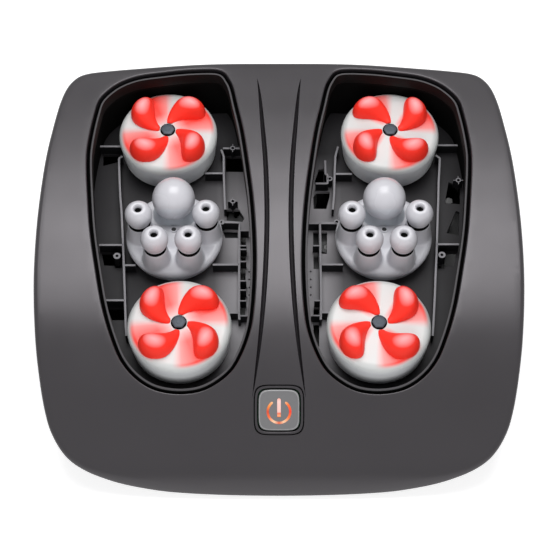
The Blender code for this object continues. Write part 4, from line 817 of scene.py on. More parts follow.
# A spindle's seat: radius and height
SEAT_SECTION = ((SPINDLE_BORE, BUSH_LOW), (BUSH_RADIUS, BUSH_LOW), (BUSH_RADIUS, TRAY_Z + 0.001),
                (PEDESTAL_RADIUS, TRAY_Z + 0.001), (PEDESTAL_RADIUS, PEDESTAL_TOP - 0.0006),
                (PEDESTAL_RADIUS - 0.0006, PEDESTAL_TOP), (SPINDLE_BORE, PEDESTAL_TOP))
for side, hand in FEET:
    centres = [disc_place(side, step * DISC_SPACING) for step in (1, 0, -1)]
    rim = inside_back(grown(WELLS[hand], WALL_OUTER), TRAY_Z, BACK_CLEARANCE)
    holes = [np.array(outline) * MILLIMETRE for outline in OPENINGS[hand]]
    holes += [circle(centre, SPINDLE_BORE, 32) for centre in centres]
    holes += [circle(np.array(spot) * MILLIMETRE, BEAD_RADIUS, 16) for spot in BEADS[hand]]
    (low_x, low_y), (high_x, high_y) = rim.min(axis=0), rim.max(axis=0)
    fill = np.array([(x, y) for y in np.arange(low_y, high_y, TRAY_FILL_STEP)
                     for x in np.arange(low_x, high_x, TRAY_FILL_STEP)])
    flat, faces = filled(rim, holes, fill)
    shapes = [(at_height(flat, TRAY_TOP), faces), (at_height(flat, TRAY_Z), [face[::-1] for face in faces])]
    shapes += [bands([at_height(loop, TRAY_Z), at_height(loop, TRAY_TOP)]) for loop in [rim] + holes]
    shapes += [spun(SEAT_SECTION, 64, centre) for centre in centres]
    piece(f"{hand}_tray_floor", shapes, TRAY_PLASTIC, "inner_plastic", "casing", f"{hand}_chassis")

    swept = {label: (*map(float, centre), 0.0) for label, centre in zip(DISC_LABELS, centres)}
    swept.update(Round=RIB_ROUND, Step=RIB_STEP, Reach=SWEEP_REACH, Swept_Top=RIB_SWEPT_TOP, Height=RIB_TOP - RIB_LOW)
    grown_from(f"{hand}_tray_ribs", rib_tree, TRAY_PLASTIC, *strips(RAILS[hand]), Width=RIB_WIDTH, **swept)
    grown_from(f"{hand}_tray_comb", rib_tree, TRAY_PLASTIC, *strips(COMBS[hand]), Width=COMB_WIDTH, **swept)
    bosses = BOSSES[hand] + tuple((*spot, FINNED_RADIUS) for spot in FINNED_BOSSES[hand])
    for number, (x, y, radius) in enumerate(bosses, start=1):
        grown_from(f"{hand}_tray_boss_{number}", boss_tree, TRAY_PLASTIC,
                   [(x * MILLIMETRE, y * MILLIMETRE, (RIB_LOW + RIB_TOP) / 2)], [], Radius=radius * MILLIMETRE,
                   Wall=radius * MILLIMETRE - BOSS_HOLE, Height=RIB_TOP - RIB_LOW)
    fins = [((x + dx * FIN_START, y + dy * FIN_START), (x + dx * FIN_REACH, y + dy * FIN_REACH))
            for x, y in FINNED_BOSSES[hand] for dx, dy in ((1, 0), (-1, 0), (0, 1), (0, -1))]
    grown_from(f"{hand}_boss_fins", rib_tree, TRAY_PLASTIC, *strips(fins), Width=FIN_WIDTH, **swept)


# ---- Heated discs: four shallow drums of pale ABS with a softly rounded shoulder, each pressed on its spindle. A
# painted red glow lies on one side of every node, and painted light whitens the skirt under the shoulder.

DISC_CREST_Z = 0.0733
DISC_DOME = 0.0014
HEATED_RADIUS = 0.042
DISC_FOOT_Z = 0.0436
DISC_BORE = 0.0054
DISC_HUB_RADIUS = 0.009
DISC_SHELL = 0.0026
SKIRT_DRAFT = 0.0025
SHOULDER_ROUND = 0.0065
HUB_FOOT_Z = 0.0468
DISC_STEPS = 192
NODE_ANGLES = tuple(math.radians(degrees) for degrees in (45, 135, 225, 315))
# The painted red glow round each node: where it starts, is full, fades and ends, and how it thins towards hub and rim
GLOW_LEAD = math.radians(16)
GLOW_FULL = math.radians(22)
GLOW_REACH = math.radians(62)
GLOW_END = math.radians(46)
GLOW_END_SOFT = math.radians(6)
SHOULDER_START = HEATED_RADIUS - SHOULDER_ROUND
SHOULDER_Z = DISC_CREST_Z - DISC_DOME - SHOULDER_ROUND
SHOULDER_SHARE = 0.98
HUB_ROUND = 0.0006
FOOT_RADIUS = HEATED_RADIUS - SKIRT_DRAFT
GLOW_BEND = 0.7
GLOW_INNER = 0.006
GLOW_INNER_SOFT = 0.012
GLOW_OUTER = 0.0405
GLOW_OUTER_SOFT = 0.0025
# Where the painted light on the skirt begins, and how softly
SKIRT_LIGHT_Z = SHOULDER_Z + 0.0030
SKIRT_LIGHT_SOFT = 0.004


def on_arc(centre, radius, turns):
    """Points of a section on a circle, at angles in radians."""
    return [(centre[0] + radius * math.cos(a), centre[1] + radius * math.sin(a)) for a in turns]


def round_corner(centre, radius, start, end, steps):
    """Points of a fillet in a section, between two angles in degrees."""
    return on_arc(centre, radius, [math.radians(start + (end - start) * k / steps) for k in range(steps + 1)])


def disc_top(radius):
    """Height of a heated disc's surface: a faint dome, then the shoulder."""
    if radius <= SHOULDER_START:
        return DISC_CREST_Z - DISC_DOME * (radius / SHOULDER_START) ** 2
    beyond = min(radius - SHOULDER_START, SHOULDER_SHARE * SHOULDER_ROUND)
    return SHOULDER_Z + math.sqrt(SHOULDER_ROUND**2 - beyond**2)


# Round a heated disc's section: radius and height
DISC_SECTION = [(DISC_BORE, HUB_FOOT_Z), (DISC_BORE, disc_top(DISC_BORE) - HUB_ROUND)]
DISC_SECTION += round_corner((DISC_BORE + HUB_ROUND, disc_top(DISC_BORE) - HUB_ROUND), HUB_ROUND, 180, 96, 3)[1:]
DISC_SECTION += [(r, disc_top(r)) for r in np.linspace(0.0075, SHOULDER_START - 0.001, 20)]
DISC_SECTION += round_corner((SHOULDER_START, SHOULDER_Z), SHOULDER_ROUND, 85.5, -6, 13)
DISC_SECTION += [(FOOT_RADIUS + 0.0003, DISC_FOOT_Z + 0.0006), (FOOT_RADIUS - 0.0003, DISC_FOOT_Z),
                 (FOOT_RADIUS - DISC_SHELL, DISC_FOOT_Z), (HEATED_RADIUS - 1.3 * DISC_SHELL, SHOULDER_Z),
                 (SHOULDER_START, SHOULDER_Z + SHOULDER_ROUND - DISC_SHELL),
                 (DISC_HUB_RADIUS, DISC_CREST_Z - DISC_DOME - DISC_SHELL), (DISC_HUB_RADIUS, HUB_FOOT_Z)]

PALE = (0.60, 0.612, 0.606)
PALE_SHADE = (0.565, 0.577, 0.570)
RED = (0.86, 0.036, 0.022)
RED_SHADE = (0.82, 0.030, 0.018)
# Painted light: the skirt under the shoulder is coloured whiter, standing in for light that reaches it
SKIRT_PAINTED_LIGHT = (0.90, 0.92, 0.94)
DISC_PLASTIC = moulded("pale_disc_abs", PALE, PALE_SHADE, 0.36, rub=0.04, grain_depth=0.006)
# Painted red glow on the disc beside each node
blended(DISC_PLASTIC, "painted_red_glow", RED)
blended(DISC_PLASTIC, "skirt_painted_light", SKIRT_PAINTED_LIGHT)
# Each heated disc: its foot's side, its name and its centre
HEATED = [(side, f"{hand}_{row}", disc_place(side, distance)) for side, hand in FEET
          for row, distance in (("rear", DISC_SPACING), ("front", -DISC_SPACING))]
for _, spot, centre in HEATED:
    disc = mesh_of(f"{spot}_warm_disc", [spun(DISC_SECTION, DISC_STEPS, centre)])
    co = places_of(disc)
    off = co[:, :2] - centre
    turn, radius = np.arctan2(off[:, 1], off[:, 0]), np.hypot(off[:, 0], off[:, 1])
    # Share of the painted red glow at each vertex: strongest just behind a node, fading round the disc
    red_glow_share = np.zeros(len(co))
    for angle in NODE_ANGLES:
        behind = (angle - turn + GLOW_LEAD) % (2 * math.pi) - GLOW_LEAD
        fade = np.clip((GLOW_REACH - behind) / (GLOW_REACH - GLOW_FULL), 0, 1) ** GLOW_BEND
        fade *= np.clip((GLOW_END + GLOW_END_SOFT - behind) / (2 * GLOW_END_SOFT), 0, 1)
        red_glow_share = np.maximum(red_glow_share, fade * np.clip(1 + behind / GLOW_LEAD, 0, 1))
    red_glow_share *= np.clip((radius - GLOW_INNER) / GLOW_INNER_SOFT, 0, 1) ** GLOW_BEND
    red_glow_share *= np.clip((GLOW_OUTER - radius) / GLOW_OUTER_SOFT, 0, 1) * (co[:, 2] > SHOULDER_Z)
    marked(disc, "painted_red_glow", red_glow_share)
    marked(disc, "skirt_painted_light", np.clip((SKIRT_LIGHT_Z - co[:, 2]) / SKIRT_LIGHT_SOFT, 0, 1))
    dressed(disc, DISC_PLASTIC, "disc", f"{spot}_disc", f"{spot}_heated_disc")


# ---- Warm nodes: on each heated disc four teardrops of glossy red silicone-like plastic, mirrored from foot to foot
# and snapped into the disc from above. A faint glow is painted into their red, and a pale painted highlight on their
# tops.

NODE_HEIGHT = 0.0146
NODE_HALF_WIDTH = 0.0129
NODE_END_RADIUS = 0.0395
NODE_START_RADIUS = 0.0068
NODE_SWEEP = math.radians(36)
NODE_VOXEL = 0.0007
NODE_WIDE_SHARE = 0.66
NODE_FULLNESS = 0.92
NODE_SINK = 0.0008
NODE_TIP = 0.004
NODE_SMOOTHING = 7
NODE_TAIL_ROWS = 22
NODE_HEAD_ROWS = 14
NODE_ARC_POINTS = 19
# Along a teardrop, hub to head: share of its length, of its half width and of its height
NODE_STATIONS = ((0.0, 0.16, 0.10), (0.12, 0.34, 0.20), (0.24, 0.50, 0.38), (0.36, 0.68, 0.60), (0.48, 0.85, 0.80),
                 (0.57, 0.95, 0.93), (0.66, 1.0, 1.0))
NODE_PAINTED_GLOW = 0.12
NODE_PAINTED_HIGHLIGHT = (0.93, 0.52, 0.54)
NODE_HIGHLIGHT_FROM = 0.0829
NODE_HIGHLIGHT_TO = 0.0890
RED_PLASTIC = moulded("warm_red_plastic", RED, RED_SHADE, 0.44, rub=0.03, grain_depth=0.004, Specular_IOR_Level=0.24,
                      Emission_Color=(*RED, 1.0), Emission_Strength=NODE_PAINTED_GLOW)
# Painted highlight: the top of each node turns pale pink by its height
laid_over(RED_PLASTIC, own_place(RED_PLASTIC.node_tree)[2], NODE_PAINTED_HIGHLIGHT, NODE_HIGHLIGHT_FROM, NODE_HIGHLIGHT_TO)


def capped(levels):
    """A surface through closed lines, with a face over its first and its last one."""
    points, faces = bands(levels)
    count = len(levels[0])
    return points, faces + [tuple(range(count)), tuple(range(len(points) - count, len(points)))]


def lobe(centre, start, sweep):
    """One teardrop: sections along a bent line, from a low tail at the hub to a round head near the rim."""
    table = np.array(NODE_STATIONS)
    head = [math.sin(math.pi / 2 * k / NODE_HEAD_ROWS) for k in range(1, NODE_HEAD_ROWS + 1)]
    shares = list(np.linspace(0, NODE_WIDE_SHARE, NODE_TAIL_ROWS))
    shares += [NODE_WIDE_SHARE + (1 - NODE_WIDE_SHARE) * share for share in head]
    rows, arc = [], np.linspace(0, math.pi, NODE_ARC_POINTS)
    for share in shares:
        if share <= NODE_WIDE_SHARE:
            wide, high = (np.interp(share, table[:, 0], table[:, k]) for k in (1, 2))
        else:
            wide = high = math.sqrt(max(0.0, 1 - ((share - NODE_WIDE_SHARE) / (1 - NODE_WIDE_SHARE)) ** 2)) + NODE_TIP
        reach = NODE_START_RADIUS + share * (NODE_END_RADIUS - NODE_START_RADIUS)
        angle = start + sweep * (1 - share) ** 2
        middle = np.array((math.cos(angle), math.sin(angle))) * reach
        across = np.array((-math.sin(angle), math.cos(angle))) * wide * NODE_HALF_WIDTH
        flat = middle + across * np.cos(arc)[:, None]
        base = np.array([disc_top(math.hypot(*p)) for p in flat])
        top = at_height(flat + centre, base + NODE_HEIGHT * high * np.sin(arc) ** NODE_FULLNESS)
        under = at_height(flat[::-1] + centre, base[::-1] - NODE_SINK)
        rows.append(np.vstack((top, under)))
    return capped(rows)


def moulded_as_one(obj, voxel, passes):
    """Melts the overlapping shapes of an object into one skin and smooths it."""
    melt = obj.modifiers.new("moulded_as_one", "REMESH")
    melt.mode = "VOXEL"
    melt.voxel_size = voxel
    melt.use_smooth_shade = True
    soften = obj.modifiers.new("soft_skin", "SMOOTH")
    soften.factor = 0.5
    soften.iterations = passes
    return settled(obj)


for side, spot, centre in HEATED:
    drops = mesh_of(f"{spot}_warm_nodes", [lobe(centre, angle, -side * NODE_SWEEP) for angle in NODE_ANGLES])
    dressed(moulded_as_one(drops, NODE_VOXEL, NODE_SMOOTHING), RED_PLASTIC, "node", f"{spot}_disc", f"{spot}_nodes")


# ---- Hub nuts: a zinc-plated hexagon nut on the end of each spindle holds a heated disc down, with a dark spring
# washer under it.

NUT_RADIUS = 0.0059
NUT_LOW = 0.0738
NUT_TOP = 0.0752
NUT_CHAMFER = 0.0006
SPRING_RADIUS = 0.0064
STUD_RADIUS = 0.0024
STUD_LOW = 0.0712
ZINC = moulded("blue_zinc_plate", (0.060, 0.072, 0.088), (0.050, 0.062, 0.076), 0.46, grain=0.0004, rub=0.05,
               Metallic=0.30, Specular_IOR_Level=0.25)
# Sections of the spindle's end, the nut and the washer: radius and height
STUD_SECTION = ((0.0, STUD_LOW), (STUD_RADIUS, STUD_LOW), (STUD_RADIUS, NUT_TOP - 0.0004),
                (STUD_RADIUS - 0.0004, NUT_TOP), (0.0, NUT_TOP))
NUT_SECTION = ((STUD_RADIUS, NUT_LOW), (NUT_RADIUS, NUT_LOW), (NUT_RADIUS, NUT_TOP - NUT_CHAMFER / 2),
               (NUT_RADIUS - NUT_CHAMFER, NUT_TOP), (STUD_RADIUS, NUT_TOP))
SPRING_SECTION = ((STUD_RADIUS, DISC_CREST_Z), (SPRING_RADIUS, DISC_CREST_Z), (SPRING_RADIUS, NUT_LOW - 0.0001),
                  (SPRING_RADIUS - 0.0002, NUT_LOW), (STUD_RADIUS, NUT_LOW))
for _, spot, centre in HEATED:
    piece(f"{spot}_hub_nut", [spun(NUT_SECTION, 6, centre), solid_spun(STUD_SECTION, 24, centre)], ZINC, "steel",
          f"{spot}_disc")
    piece(f"{spot}_spring_washer", [spun(SPRING_SECTION, 48, centre)], LINING, "steel", f"{spot}_disc")


# ---- Middle discs: a shallow drum of light ABS in each foot, moulded with a tapered post for each of the four small
# knobs and a screw on its raised hub. The large ball stands on a wide neck of blue-grey plastic.

DISH_FLOOR_Z = 0.056
DISH_RADIUS = 0.0405
DISH_DEPTH = 0.0127
DISH_HUB_RISE = 0.007
DISH_SHOULDER = 0.0045
BALL_RADIUS = 0.0178
BALL_OFFSET = 0.0205
BALL_Z = 0.0785
BALL_FLAT_RADIUS = 0.0101
KNOB_OFFSET = 0.0277
KNOB_ANGLES = tuple(math.radians(degrees) for degrees in (180, 2, 240, 300))
KNOB_POST_TOP_Z = 0.0739
KNOB_Z = 0.086
DISH_VOXEL = 0.0008
DISH_SMOOTHING = 6
DISH_FOOT_Z = DISH_FLOOR_Z - DISH_DEPTH
DISH_HUB_Z = DISH_FLOOR_Z + DISH_HUB_RISE
DISH_BUSH_Z = 0.0446
DISH_FOOT_RADIUS = DISH_RADIUS - SKIRT_DRAFT
BALL_UNDER_Z = BALL_Z - math.sqrt(BALL_RADIUS**2 - BALL_FLAT_RADIUS**2)
NECK_RADIUS = 0.0159
NECK_TOP_Z = 0.0701
SCREW_RADIUS = 0.0020
SCREW_RING = 0.0032
DISH_PLASTIC = moulded("light_dish_abs", (0.55, 0.55, 0.585), (0.51, 0.51, 0.545), 0.36, rub=0.04, grain_depth=0.005)
BLACK = moulded("black_satin_abs", (0.012, 0.012, 0.013), (0.018, 0.018, 0.019), 0.38, rub=0.04)
NECK_PLASTIC = moulded("blue_grey_neck", (0.50, 0.54, 0.58), (0.46, 0.50, 0.54), 0.36, rub=0.04, grain_depth=0.005)


def over(level, *pairs):
    """Points of a section whose heights are given over one level."""
    return [(radius, level + height) for radius, height in pairs]


# Sections of the dish, a post, the neck, the screw and its washer: radius and height
DISH_SECTION = over(DISH_HUB_Z, (0.0, 0.0), (0.004, 0.0), (0.010, -0.0022))
DISH_SECTION += over(DISH_FLOOR_Z, (0.015, 0.0018), (0.020, 0.0004), (0.026, 0.0))
DISH_SECTION += round_corner((DISH_RADIUS - DISH_SHOULDER, DISH_FLOOR_Z - DISH_SHOULDER), DISH_SHOULDER, 90, -6, 10)
DISH_SECTION += over(DISH_FOOT_Z, (DISH_FOOT_RADIUS, 0.0), (DISH_FOOT_RADIUS - DISC_SHELL, 0.0))
DISH_SECTION += over(DISH_FLOOR_Z, (0.0335, -DISC_SHELL), (DISC_HUB_RADIUS, -DISC_SHELL))
DISH_SECTION += over(DISH_BUSH_Z, (DISC_HUB_RADIUS, 0.0), (DISC_BORE, 0.0))
DISH_SECTION += over(DISH_HUB_Z, (DISC_BORE, -0.003), (0.0, -0.003))
POST_SECTION = over(DISH_FLOOR_Z, (0.0, -0.0015), (0.0122, -0.0015), (0.0116, 0.0015), (0.0111, 0.006), (0.0105, 0.012))
POST_SECTION += over(KNOB_POST_TOP_Z, (0.0100, -0.0018), (0.0097, -0.0006), (0.0092, -0.0001), (0.0, -0.0001))
NECK_SECTION = over(DISH_FLOOR_Z, (0.0, -0.0003), (0.0186, -0.0003), (0.0178, 0.0012), (0.0170, 0.0035),
                    (0.0164, 0.0062))
NECK_SECTION += [(NECK_RADIUS, BALL_UNDER_Z)]
NECK_SECTION += over(NECK_TOP_Z, (NECK_RADIUS, -0.0006), (NECK_RADIUS - 0.0003, -0.0002), (NECK_RADIUS - 0.0007, 0.0),
                     (NECK_RADIUS - 0.0012, -0.0004))
NECK_SECTION += over(BALL_UNDER_Z, (0.0128, 0.0012), (0.0098, -0.0002), (0.0, -0.0002))
SCREW_SECTION = over(DISH_HUB_Z, (0.0, -0.0006), (SCREW_RADIUS, -0.0006), (SCREW_RADIUS, 0.0002), (0.0, 0.0002))
RING_SECTION = over(DISH_HUB_Z, (SCREW_RADIUS, -0.0006), (SCREW_RING, -0.0006), (SCREW_RING, 0.0006),
                    (SCREW_RING - 0.0003, 0.0009), (SCREW_RADIUS, 0.0009))


def knob_places(side):
    """The axes of a foot's four small knobs."""
    return [disc_place(side, 0.0) + np.array((math.cos(angle), math.sin(angle))) * KNOB_OFFSET for angle in KNOB_ANGLES]


for side, hand in FEET:
    centre = disc_place(side, 0.0)
    drum = [solid_spun(DISH_SECTION, 96, centre)] + [solid_spun(POST_SECTION, 48, place) for place in knob_places(side)]
    dish = moulded_as_one(mesh_of(f"{hand}_middle_dish", drum), DISH_VOXEL, DISH_SMOOTHING)
    dressed(dish, DISH_PLASTIC, "disc", f"{hand}_middle_disc", f"{hand}_mid_dish")
    piece(f"{hand}_ball_neck", [solid_spun(NECK_SECTION, 72, centre + (0.0, BALL_OFFSET))], NECK_PLASTIC, "disc",
          f"{hand}_middle_disc")
    piece(f"{hand}_hub_screw", [solid_spun(SCREW_SECTION, 24, centre)], BLACK, "inner_plastic", f"{hand}_middle_disc")
    piece(f"{hand}_hub_washer", [spun(RING_SECTION, 32, centre)], DISH_PLASTIC, "disc", f"{hand}_middle_disc")


# ---- Large balls: hollow spheres of polished light ABS, flattened below and screwed on the neck of the dish. Their
# low side, turned to the hub, carries a painted blue-grey shade that ends in a soft flat edge.

BALL_CREST = (0.57, 0.565, 0.60)
BALL_SHADE = (0.545, 0.54, 0.575)
BALL_PAINTED_SHADE = (0.57, 0.59, 0.635)
SHADE_AXIS = np.array((0.0, 0.859, 0.512))
SHADE_LEVEL = -0.0082
SHADE_SOFT = 0.0022
BALL_PLASTIC = moulded("polished_light_abs", BALL_CREST, BALL_SHADE, 0.27, rub=0.03, grain_depth=0.003)
BALL_WITH_PAINTED_SHADE = moulded("light_abs_with_painted_shade", BALL_CREST, BALL_SHADE, 0.27, rub=0.03, grain_depth=0.003)
blended(BALL_WITH_PAINTED_SHADE, "painted_shade", BALL_PAINTED_SHADE)
BALL_LOW = math.asin((BALL_UNDER_Z - BALL_Z) / BALL_RADIUS)
BALL_SECTION = over(BALL_Z, (0.0, BALL_RADIUS))
BALL_SECTION += on_arc((0.0, BALL_Z), BALL_RADIUS, np.linspace(math.pi / 2, BALL_LOW, 40)[1:])
BALL_SECTION += over(BALL_UNDER_Z, (BALL_FLAT_RADIUS - 0.0006, -0.0001), (0.0, -0.0001))
for side, hand in FEET:
    centre = disc_place(side, 0.0) + (0.0, BALL_OFFSET)
    ball = mesh_of(f"{hand}_large_ball", [solid_spun(BALL_SECTION, 96, centre)])
    # Painted shade: beyond a tilted plane the ball's low front side turns blue-grey
    marked(ball, "painted_shade", (SHADE_LEVEL - (places_of(ball) - (*centre, BALL_Z)) @ SHADE_AXIS) / SHADE_SOFT)
    dressed(ball, BALL_WITH_PAINTED_SHADE, "knob", f"{hand}_middle_disc", f"{hand}_big_ball")


# ---- Small knobs: eight round caps of the same light plastic with a collar under them. Each turns on a pin of its
# post, on a black rubber washer, and is held by the screw that shows dark in the hole on its top.

KNOB_RADIUS = 0.0114
KNOB_NECK = math.radians(-33)
KNOB_CREST = math.asin(0.0094 / KNOB_RADIUS)
KNOB_TOP_Z = KNOB_Z + KNOB_RADIUS * math.sin(KNOB_CREST)
KNOB_BORE = 0.0031
KNOB_HOLE = 0.0030
COLLAR_RADIUS = 0.0090
KNOB_FOOT_Z = 0.0772
WASHER_RADIUS = 0.0081
FLANGE_RADIUS = 0.0093
PIN_RADIUS = 0.0026
PIN_TOP_Z = 0.0921
# Sections of the knob, its washer and its screw: radius and height
KNOB_SECTION = over(KNOB_FOOT_Z, (KNOB_BORE, 0.0), (COLLAR_RADIUS - 0.0004, 0.0), (COLLAR_RADIUS, 0.0004),
                    (COLLAR_RADIUS, 0.0014), (COLLAR_RADIUS - 0.0004, 0.0018))
KNOB_SECTION += on_arc((0.0, KNOB_Z), KNOB_RADIUS, np.linspace(KNOB_NECK, KNOB_CREST, 26))
KNOB_SECTION += over(KNOB_TOP_Z, (0.0046, 0.0003), (0.0040, 0.0001), (0.0035, -0.0006), (KNOB_HOLE, -0.0016),
                     (KNOB_HOLE - 0.0001, -0.0045), (KNOB_BORE, -0.0062))
WASHER_SECTION = over(KNOB_POST_TOP_Z, (PIN_RADIUS, -0.0002), (FLANGE_RADIUS, -0.0002), (FLANGE_RADIUS, 0.0003),
                      (WASHER_RADIUS, 0.0006))
WASHER_SECTION += over(KNOB_FOOT_Z, (WASHER_RADIUS, -0.0003), (WASHER_RADIUS - 0.0003, -0.0001), (PIN_RADIUS, -0.0001))
PIN_SECTION = over(KNOB_POST_TOP_Z, (0.0, -0.001), (PIN_RADIUS, -0.001))
PIN_SECTION += over(PIN_TOP_Z, (PIN_RADIUS, -0.0005), (PIN_RADIUS - 0.0004, 0.0), (0.0012, 0.0), (0.0010, -0.0010),
                    (0.0, -0.0010))
for side, hand in FEET:
    places = knob_places(side)
    for number, place in enumerate(places, start=1):
        piece(f"{hand}_small_knob_{number}", [spun(KNOB_SECTION, 72, place)], BALL_PLASTIC, "knob",
              f"{hand}_knob_{number}", f"{hand}_knob_{number}")
    piece(f"{hand}_knob_washers", [spun(WASHER_SECTION, 48, place) for place in places], LINING, "inner_plastic",
          f"{hand}_middle_disc")
    piece(f"{hand}_knob_pins", [solid_spun(PIN_SECTION, 32, place) for place in places], LINING, "inner_plastic",
          f"{hand}_middle_disc")


# ---- Power button: a square cap with rounded sides, moulded in grey ABS, in a graphite bezel on a black seat that
# drops into the cover's front slope. The power mark is a lit insert of clear plastic, flush with the cap.

CAP_SIZE = 0.0322
CAP_RISE = 0.0010
CAP_HOLLOW = 0.0003
BEZEL_OUTER = 0.0383
BEZEL_INNER = 0.0342
BEZEL_RISE = 0.0004
SEAT_DROP = 0.0014
MARK_RADIUS = 0.0098
MARK_WIDTH = 0.0019
MARK_DROP = 0.0012
MARK_OPENING = math.radians(33)
MARK_RISE = 0.00012
BAR_LOW = -0.0042
BAR_HIGH = 0.0104
BAR_WIDTH = 0.0028
MARK_DEPTH = 0.0005
MARK_STEPS = 90
MARK_END_STEPS = 3
BAR_STEPS = 30
END_FULLNESS = 0.9
MARK_RED = (0.9, 0.1, 0.03, 1.0)
MARK_UNLIT = (0.06, 0.015, 0.008, 1.0)
MARK_STRENGTH = 0.95
MARK_ROUGHNESS = 0.3
MARK_PATCH_SCALE = 400.0
MARK_PATCH_LOW = 0.85
CAP_RIM_HIGHLIGHT = (0.25, 0.25, 0.255)
CAP_SIDE_PAINTED_SHADE = (0.012, 0.012, 0.012)
# Colours of the lit mark: share of a turn from its top, or height along the bar, and red, green, blue
RING_COLOURS = np.array((
    (0.09, 1.0, 0.60, 0.30), (0.17, 1.0, 0.30, 0.03), (0.25, 0.62, 0.03, 0.01), (0.33, 1.0, 0.14, 0.01),
    (0.43, 1.0, 0.70, 0.45), (0.50, 0.75, 0.08, 0.02), (0.57, 1.0, 0.65, 0.40), (0.66, 1.0, 0.20, 0.02),
    (0.75, 1.0, 0.01, 0.002), (0.85, 1.0, 0.16, 0.01), (0.91, 1.0, 0.50, 0.22),
))
BAR_COLOURS = np.array(((-0.0042, 1.0, 0.16, 0.02), (-0.0030, 1.0, 0.50, 0.25), (-0.0016, 0.90, 0.10, 0.02),
                        (-0.0002, 1.0, 0.62, 0.55), (0.0080, 1.0, 0.72, 0.68), (0.0104, 1.0, 0.50, 0.40)))
BUTTON_PLASTIC = moulded("grey_button_abs", (0.150, 0.149, 0.153), (0.130, 0.129, 0.133), 0.34, rub=0.03,
                         Specular_IOR_Level=0.55)
# Painted highlight on the cap's rounded rim, painted shade down its sides
blended(BUTTON_PLASTIC, "rim", CAP_RIM_HIGHLIGHT)
blended(BUTTON_PLASTIC, "side", CAP_SIDE_PAINTED_SHADE)


def stacked(profile):
    """A ring or cap on the front slope from squircles: each entry is a size and a height over the slope."""
    return [on_slope(at_height(squircle(size), height)) for size, height in profile]


# Sections of the seat and the bezel: size and height over the slope
SEAT_SECTION = ((BEZEL_SIZE, -0.006), (BEZEL_SIZE, -SEAT_DROP), (BEZEL_INNER - 0.0001, -SEAT_DROP),
                (BEZEL_INNER - 0.0001, -0.006))
BEZEL_SECTION = (
    (BEZEL_OUTER, -SEAT_DROP), (BEZEL_OUTER, BEZEL_RISE - 0.0005), (BEZEL_OUTER - 0.0004, BEZEL_RISE - 0.0001),
    (BEZEL_OUTER - 0.0012, BEZEL_RISE), (BEZEL_INNER + 0.0012, BEZEL_RISE), (BEZEL_INNER + 0.0004, BEZEL_RISE - 0.0002),
    (BEZEL_INNER, BEZEL_RISE - 0.0007), (BEZEL_INNER, -SEAT_DROP),
)
piece("power_button_seat", [bands(stacked(SEAT_SECTION), ring=True)], LINING, "inner_plastic")
piece("power_button_bezel", [bands(stacked(BEZEL_SECTION), ring=True)], GRAPHITE, "inner_plastic", "casing",
      "power_bezel")

# Each loop of the cap: size, height, share of the painted highlight on the rim, share of the painted shade on the side
CAP_SECTION = (
    (0.002, -0.0033, 0, 1), (CAP_SIZE - 0.001, -0.0033, 0, 1), (CAP_SIZE, -0.0029, 0, 1),
    (CAP_SIZE, CAP_RISE - 0.0012, 0, 1), (CAP_SIZE - 0.0002, CAP_RISE - 0.0006, 0.5, 0),
    (CAP_SIZE - 0.0008, CAP_RISE - 0.0002, 1, 0), (CAP_SIZE - 0.0018, CAP_RISE, 1, 0),
    (CAP_SIZE - 0.0026, CAP_RISE, 0, 0), (CAP_SIZE - 0.006, CAP_RISE - 0.0001, 0, 0),
    (CAP_SIZE / 2, CAP_RISE - CAP_HOLLOW, 0, 0), (0.002, CAP_RISE - CAP_HOLLOW, 0, 0),
)
sizes, heights, pale, dark = zip(*CAP_SECTION)
cap = mesh_of("power_button_cap", [capped(stacked(zip(sizes, heights)))])
marked(cap, "rim", np.repeat(pale, SQUIRCLE_STEPS))
marked(cap, "side", np.repeat(dark, SQUIRCLE_STEPS))
dressed(cap, BUTTON_PLASTIC, "button", "button", "power_button")


def half_width(width, share):
    """Half the width of a stroke whose end is rounded, from full at share 0 to its narrow end at share 1."""
    return width / 2 * np.sqrt(1 - share**2 * END_FULLNESS)


def lit_strip(name, one_side, other_side, table, along):
    """A closed thin lit band in the cap between two lines of equal counts, coloured by a table along its length."""
    low, high = CAP_RISE - CAP_HOLLOW - MARK_DEPTH, CAP_RISE - CAP_HOLLOW + MARK_RISE
    levels = [on_slope(at_height(line - (0.0, MARK_DROP), height)) for line, height in (
        (one_side, low), (one_side, high), (other_side, high), (other_side, low))]
    points, faces = bands(levels, ring=True, loops=False)
    faces += [tuple(range(end, len(points), len(one_side))) for end in (0, len(one_side) - 1)]
    mark = mesh_of(name, [(points, faces)])
    colours = [np.interp(along, table[:, 0], table[:, k]) for k in (1, 2, 3)] + [np.ones(len(along))]
    marked(mark, "lit", np.tile(np.column_stack(colours), (len(levels), 1)))
    dressed(mark, MARK_GLOW, "button", "button")


MARK_GLOW = bpy.data.materials.new("lit_power_mark")
MARK_GLOW.use_nodes = True
tree = MARK_GLOW.node_tree
glow = tree.nodes["Principled BSDF"].inputs
glow["Base Color"].default_value = MARK_UNLIT
glow["Emission Strength"].default_value = MARK_STRENGTH
glow["Roughness"].default_value = MARK_ROUGHNESS
place = wire(tree, "ShaderNodeTexCoord").outputs["Object"]
patch = fed(tree, "ShaderNodeTexNoise", {"Vector": place, "Scale": MARK_PATCH_SCALE})
uneven = fed(tree, "ShaderNodeMapRange", {"Value": patch, "To Min": MARK_PATCH_LOW, "To Max": 1.0})
lit = wire(tree, "ShaderNodeAttribute", attribute_name="lit").outputs["Color"]
tree.links.new(mixed(tree, uneven, MARK_RED, lit), glow["Emission Color"])
sweep = np.linspace(math.pi / 2 + MARK_OPENING, 5 * math.pi / 2 - MARK_OPENING, MARK_STEPS)
round_line = np.column_stack((np.cos(sweep), np.sin(sweep)))
from_end = np.minimum(np.arange(MARK_STEPS), np.arange(MARK_STEPS)[::-1])
